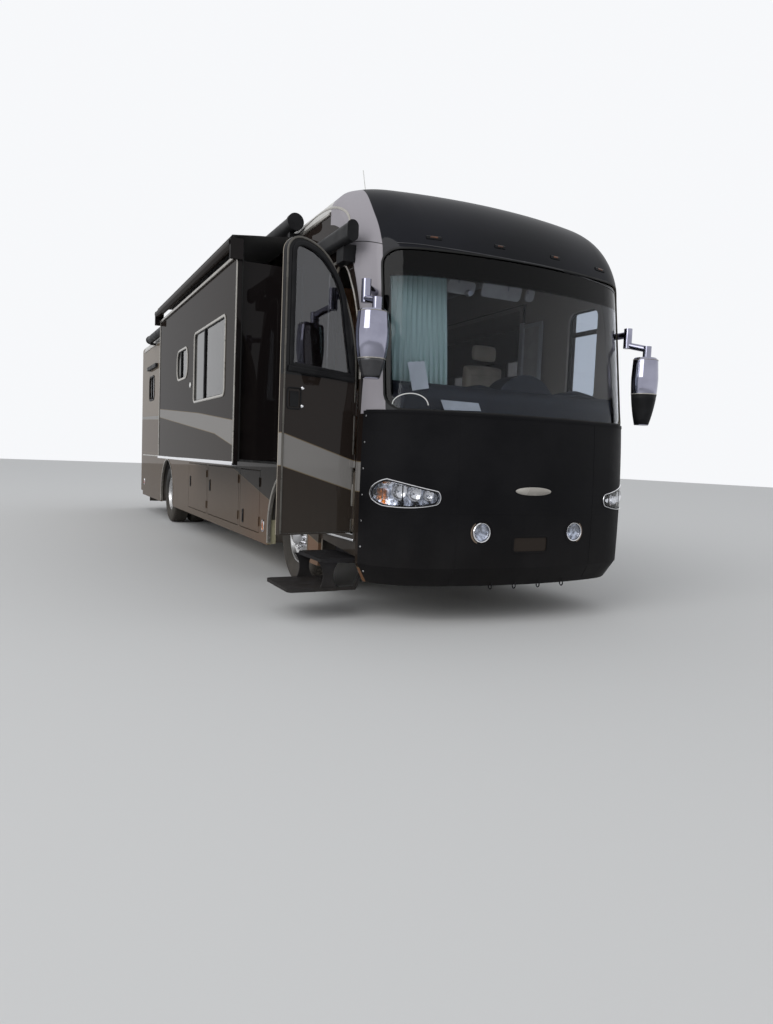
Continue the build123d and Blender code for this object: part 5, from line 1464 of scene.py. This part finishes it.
def padForm(low, high, inset=0.014):
    size = Vector(high) - Vector(low)
    form = bmesh.new()
    bmesh.ops.create_cube(form, size=1.0)
    bmesh.ops.subdivide_edges(form, edges=form.edges[:], cuts=7, use_grid_fill=True)
    for vertex in form.verts:
        x, y, z = (2 * value for value in vertex.co)
        pull = 1 - 0.055 * (abs(x) ** 3 * abs(y) ** 3 + abs(y) ** 3 * abs(z) ** 3 + abs(x) ** 3 * abs(z) ** 3)
        vertex.co = [value * pull * (length / 2 - inset) for value, length in zip((x, y, z), size)]
    mesh = bpy.data.meshes.new("pad")
    form.to_mesh(mesh)
    form.free()
    return mesh, (Vector(low) + Vector(high)) / 2


def pressedPad(low, high):
    mesh, middle = padForm(low, high)
    pad = inScene("pad", mesh)
    remesh = pad.modifiers.new("voxels", "REMESH")
    remesh.mode = "VOXEL"
    remesh.voxel_size = seats["voxel"]
    graph = bpy.context.evaluated_depsgraph_get()
    dense = bpy.data.meshes.new_from_object(pad.evaluated_get(graph))
    pad.modifiers.clear()
    pad.data = dense
    start = [vertex.co.copy() for vertex in dense.vertices]
    cloth = pad.modifiers.new("press", "CLOTH")
    cloth.settings.use_pressure = True
    cloth.settings.uniform_pressure_force = seats["pressure"]
    cloth.settings.effector_weights.gravity = 0
    scene = bpy.context.scene
    for step in range(1, seats["frames"] + 1):
        scene.frame_set(step)
    graph = bpy.context.evaluated_depsgraph_get()
    pressed = [vertex.co.copy() for vertex in pad.evaluated_get(graph).data.vertices]
    pad.modifiers.clear()
    scene.frame_set(1)
    limit = (Vector(high) - Vector(low)) / 2
    for vertex, was, now in zip(dense.vertices, start, pressed):
        move = now - was
        if move.length > seats["cap"]:
            move *= seats["cap"] / move.length
        vertex.co = [max(-most, min(most, value)) for value, most in zip(was + move, limit)]
    corners = [vertex.co + middle for vertex in pad.data.vertices]
    faces = [tuple(polygon.vertices) for polygon in pad.data.polygons]
    bpy.data.objects.remove(pad)
    return corners, faces


def sewnChannels(part, axis, places, depth, width, out):
    for index, corner in enumerate(part[0]):
        for line in places:
            gap = abs(corner[axis] - line) / width
            if gap < 1:
                part[0][index] = corner - Vector(out) * depth * (0.5 + 0.5 * math.cos(math.pi * gap))
    return part


seatPads = {
    "cushion": ((-0.27, 1.18, 1.48), (0.27, 1.70, 1.62)),
    "back": ((-0.26, 1.69, 1.57), (0.26, 1.82, 2.30)),
    "head": ((-0.15, 1.695, 2.30), (0.15, 1.79, 2.48)),
}
for name, (low, high) in seatPads.items():
    part = pressedPad((low[0], back(low[1]), low[2]), (high[0], back(high[1]), high[2]))
    if name == "cushion":
        part = sewnChannels(part, 0, (-0.15, 0.15), 0.007, 0.016, (0, 0, 1))
    if name == "back":
        part = sewnChannels(part, 2, (1.78, 2.0, 2.16), 0.006, 0.016, (0, -1, 0))
    for number, across in enumerate(seats["places"]):
        placed = turnPart(part, Matrix.Identity(3), (across, 0, 0))
        pad = addPiece(f"seat_{name}_{number}", placed, "seatLeather", welded=False)
        finer = pad.modifiers.new("finer", "SUBSURF")
        finer.levels = finer.render_levels = 1
        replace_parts(pad, "cab_seats")
frameBoxes = (  # across from the seat's middle, behind the nose, above the ground
    ((-0.16, 0.16), (1.30, 1.60), (1.15, 1.44)), ((-0.23, 0.23), (1.22, 1.66), (1.44, 1.485)),
    ((-0.32, -0.265), (1.34, 1.70), (1.72, 1.77)), ((-0.30, -0.235), (1.66, 1.72), (1.70, 1.76)),
    ((0.265, 0.32), (1.34, 1.70), (1.72, 1.77)), ((0.235, 0.30), (1.66, 1.72), (1.70, 1.76)),
)
frames = [sideBox(1, (across + left, across + right), along, up)
          for across in seats["places"] for (left, right), along, up in frameBoxes]
seatFrames = addPiece("seat_frames", frames, "trimPlastic", bevel=0.012)
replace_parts(seatFrames, "cab_seats")
print("seats made")

# A raised moulding arches back from the pillar over the entry
turns = [math.pi * step / 32 for step in range(17)]
mouldingLine = [(1.65 - 0.79 * math.cos(turn), 3.12 + 0.28 * math.sin(turn)) for turn in turns]
mouldingLine += [(1.65 + 0.07 * step, 3.40 - 0.007 * step) for step in range(1, 7)]
sideSkin = skinOf("front_cap", "kerb_wall", "roof")
found = [onSkin(sideSkin, (-3, back(along), up), (1, 0, 0)) for along, up in mouldingLine]
addPiece("entry_moulding", skinTrim(found, trimBar(0.020, 0.006, 0.004)), "paleTrim")

# A bare pale arc stuck low on the windscreen
turns = [math.pi * step / 24 for step in range(25)]
found = [frontOf(frontSkin, -1.008 + 0.116 * math.cos(turn), 1.690 + 0.084 * math.sin(turn))
         for turn in turns]
addPiece("windscreen_arc", skinTrim(found, trimBar(0.007, 0.0008, 0.0003)), "paper")

# Behind the windscreen: visors, the rail, papers and things on the dash, jambs of the galley
visors = []
for left, right, low, high in ((-0.50, -0.235, 2.665, 2.765), (-0.165, 0.235, 2.675, 2.790),
                               (0.285, 0.375, 2.690, 2.790)):
    outline = [Vector(((left + right) / 2 + x, back(0.62) - 0.35 * z, (low + high) / 2 + z))
               for x, z in roundedRectangle(right - left, high - low, 0.03, 4)]
    visors.append(slabPart(outline, (0, 0.018, 0)))
addPiece("sun_visors", visors, "visorCloth", bevel=0.004)
hangers = [tubePart([(x, back(0.56), 2.73), (x, back(0.56), 2.95)], 0.006, 8)
           for x in (-0.55, -0.43, -0.22, 0.06, 0.26)]
hangers.append(tubePart([(-1.13, back(0.495), 2.765), (1.13, back(0.495), 2.765)], 0.009))
knob = [(-0.03, 0.0), (-0.03, 0.022), (0.0, 0.030), (0.03, 0.022), (0.03, 0.0)]
hangers.append(lathe(knob, (-0.335, back(0.56), 2.66), (0, 1, 0.2), 20))
addPiece("cab_rails", hangers, "brushedAlloy")


def leaf(places, bend=0.004, depth=0.0006):
    a, b, c, d = (Vector((x, back(distance), z)) for x, distance, z in places)
    rows = []
    for i in range(9):
        row = []
        for j in range(9):
            point = a.lerp(b, j / 8).lerp(d.lerp(c, j / 8), i / 8)
            row.append(point + Vector((0, bend * math.sin(math.pi * j / 8) * math.sin(2.2 * i / 8), 0)))
        rows.append(row)
    return closedSheet(rows, depth)


standing = ((-0.991, 0.335, 2.018), (-0.855, 0.320, 2.036), (-0.822, 0.285, 1.830), (-0.960, 0.295, 1.802))
lying = ((-0.738, 0.245, 1.746), (-0.400, 0.235, 1.742), (-0.392, 0.205, 1.680), (-0.720, 0.212, 1.668))
addPiece("windscreen_papers", [leaf(standing), leaf(lying, 0.002, 0.0012)], "paper", welded=False)
lumps = []
for x, distance, z, wide, deep, high in (
        (-0.26, 0.445, 1.88, 0.13, 0.08, 0.035), (0.74, 0.445, 1.88, 0.24, 0.09, 0.06),
        (0.62, 0.66, 1.61, 0.22, 0.08, 0.14)):
    rings = []
    for level in range(7):
        share = level / 6
        size = math.cos(share * math.pi / 2 * 0.97)
        ring = []
        for step in range(20):
            turn = math.tau * step / 20
            reach = size * (1 + 0.07 * math.sin(3 * turn + x * 9))
            ring.append(Vector((x + wide * reach * math.cos(turn),
                                back(distance) + deep * reach * math.sin(turn),
                                z - 0.004 + high * share)))
        rings.append(ring)
    lumps.append(loftPart(rings))
addPiece("dash_hoods", lumps, "dashSkin")
jambs = [sideBox(1, (low, 1.200), along, up) for low, along, up in (
    (1.165, (1.845, 1.905), (1.60, 2.78)), (1.175, (1.545, 1.585), (1.60, 2.72)),
    (1.175, (1.545, 1.905), (2.72, 2.76)))]
addPiece("galley_jambs", jambs, "whitePlastic", bevel=0.006)
panel = sideBox(1, (1.192, 1.200), (1.58, 1.85), (1.60, 2.73))
addPiece("driver_side_panel", panel, "visorCloth", bevel=0.002)
fronts = [sideBox(1, across, along, up) for across, along, up in (
    ((-0.60, 0.35), (2.60, 2.64), (2.42, 3.05)), ((-0.60, 0.10), (2.70, 2.74), (1.15, 1.98)),
    ((-0.62, 0.38), (2.58, 2.66), (2.395, 2.42)), ((-0.62, 0.13), (2.68, 3.1), (1.98, 2.01)))]
addPiece("galley_fronts", fronts, "cabinetVeneer", bevel=0.004)
print("cab fitted")
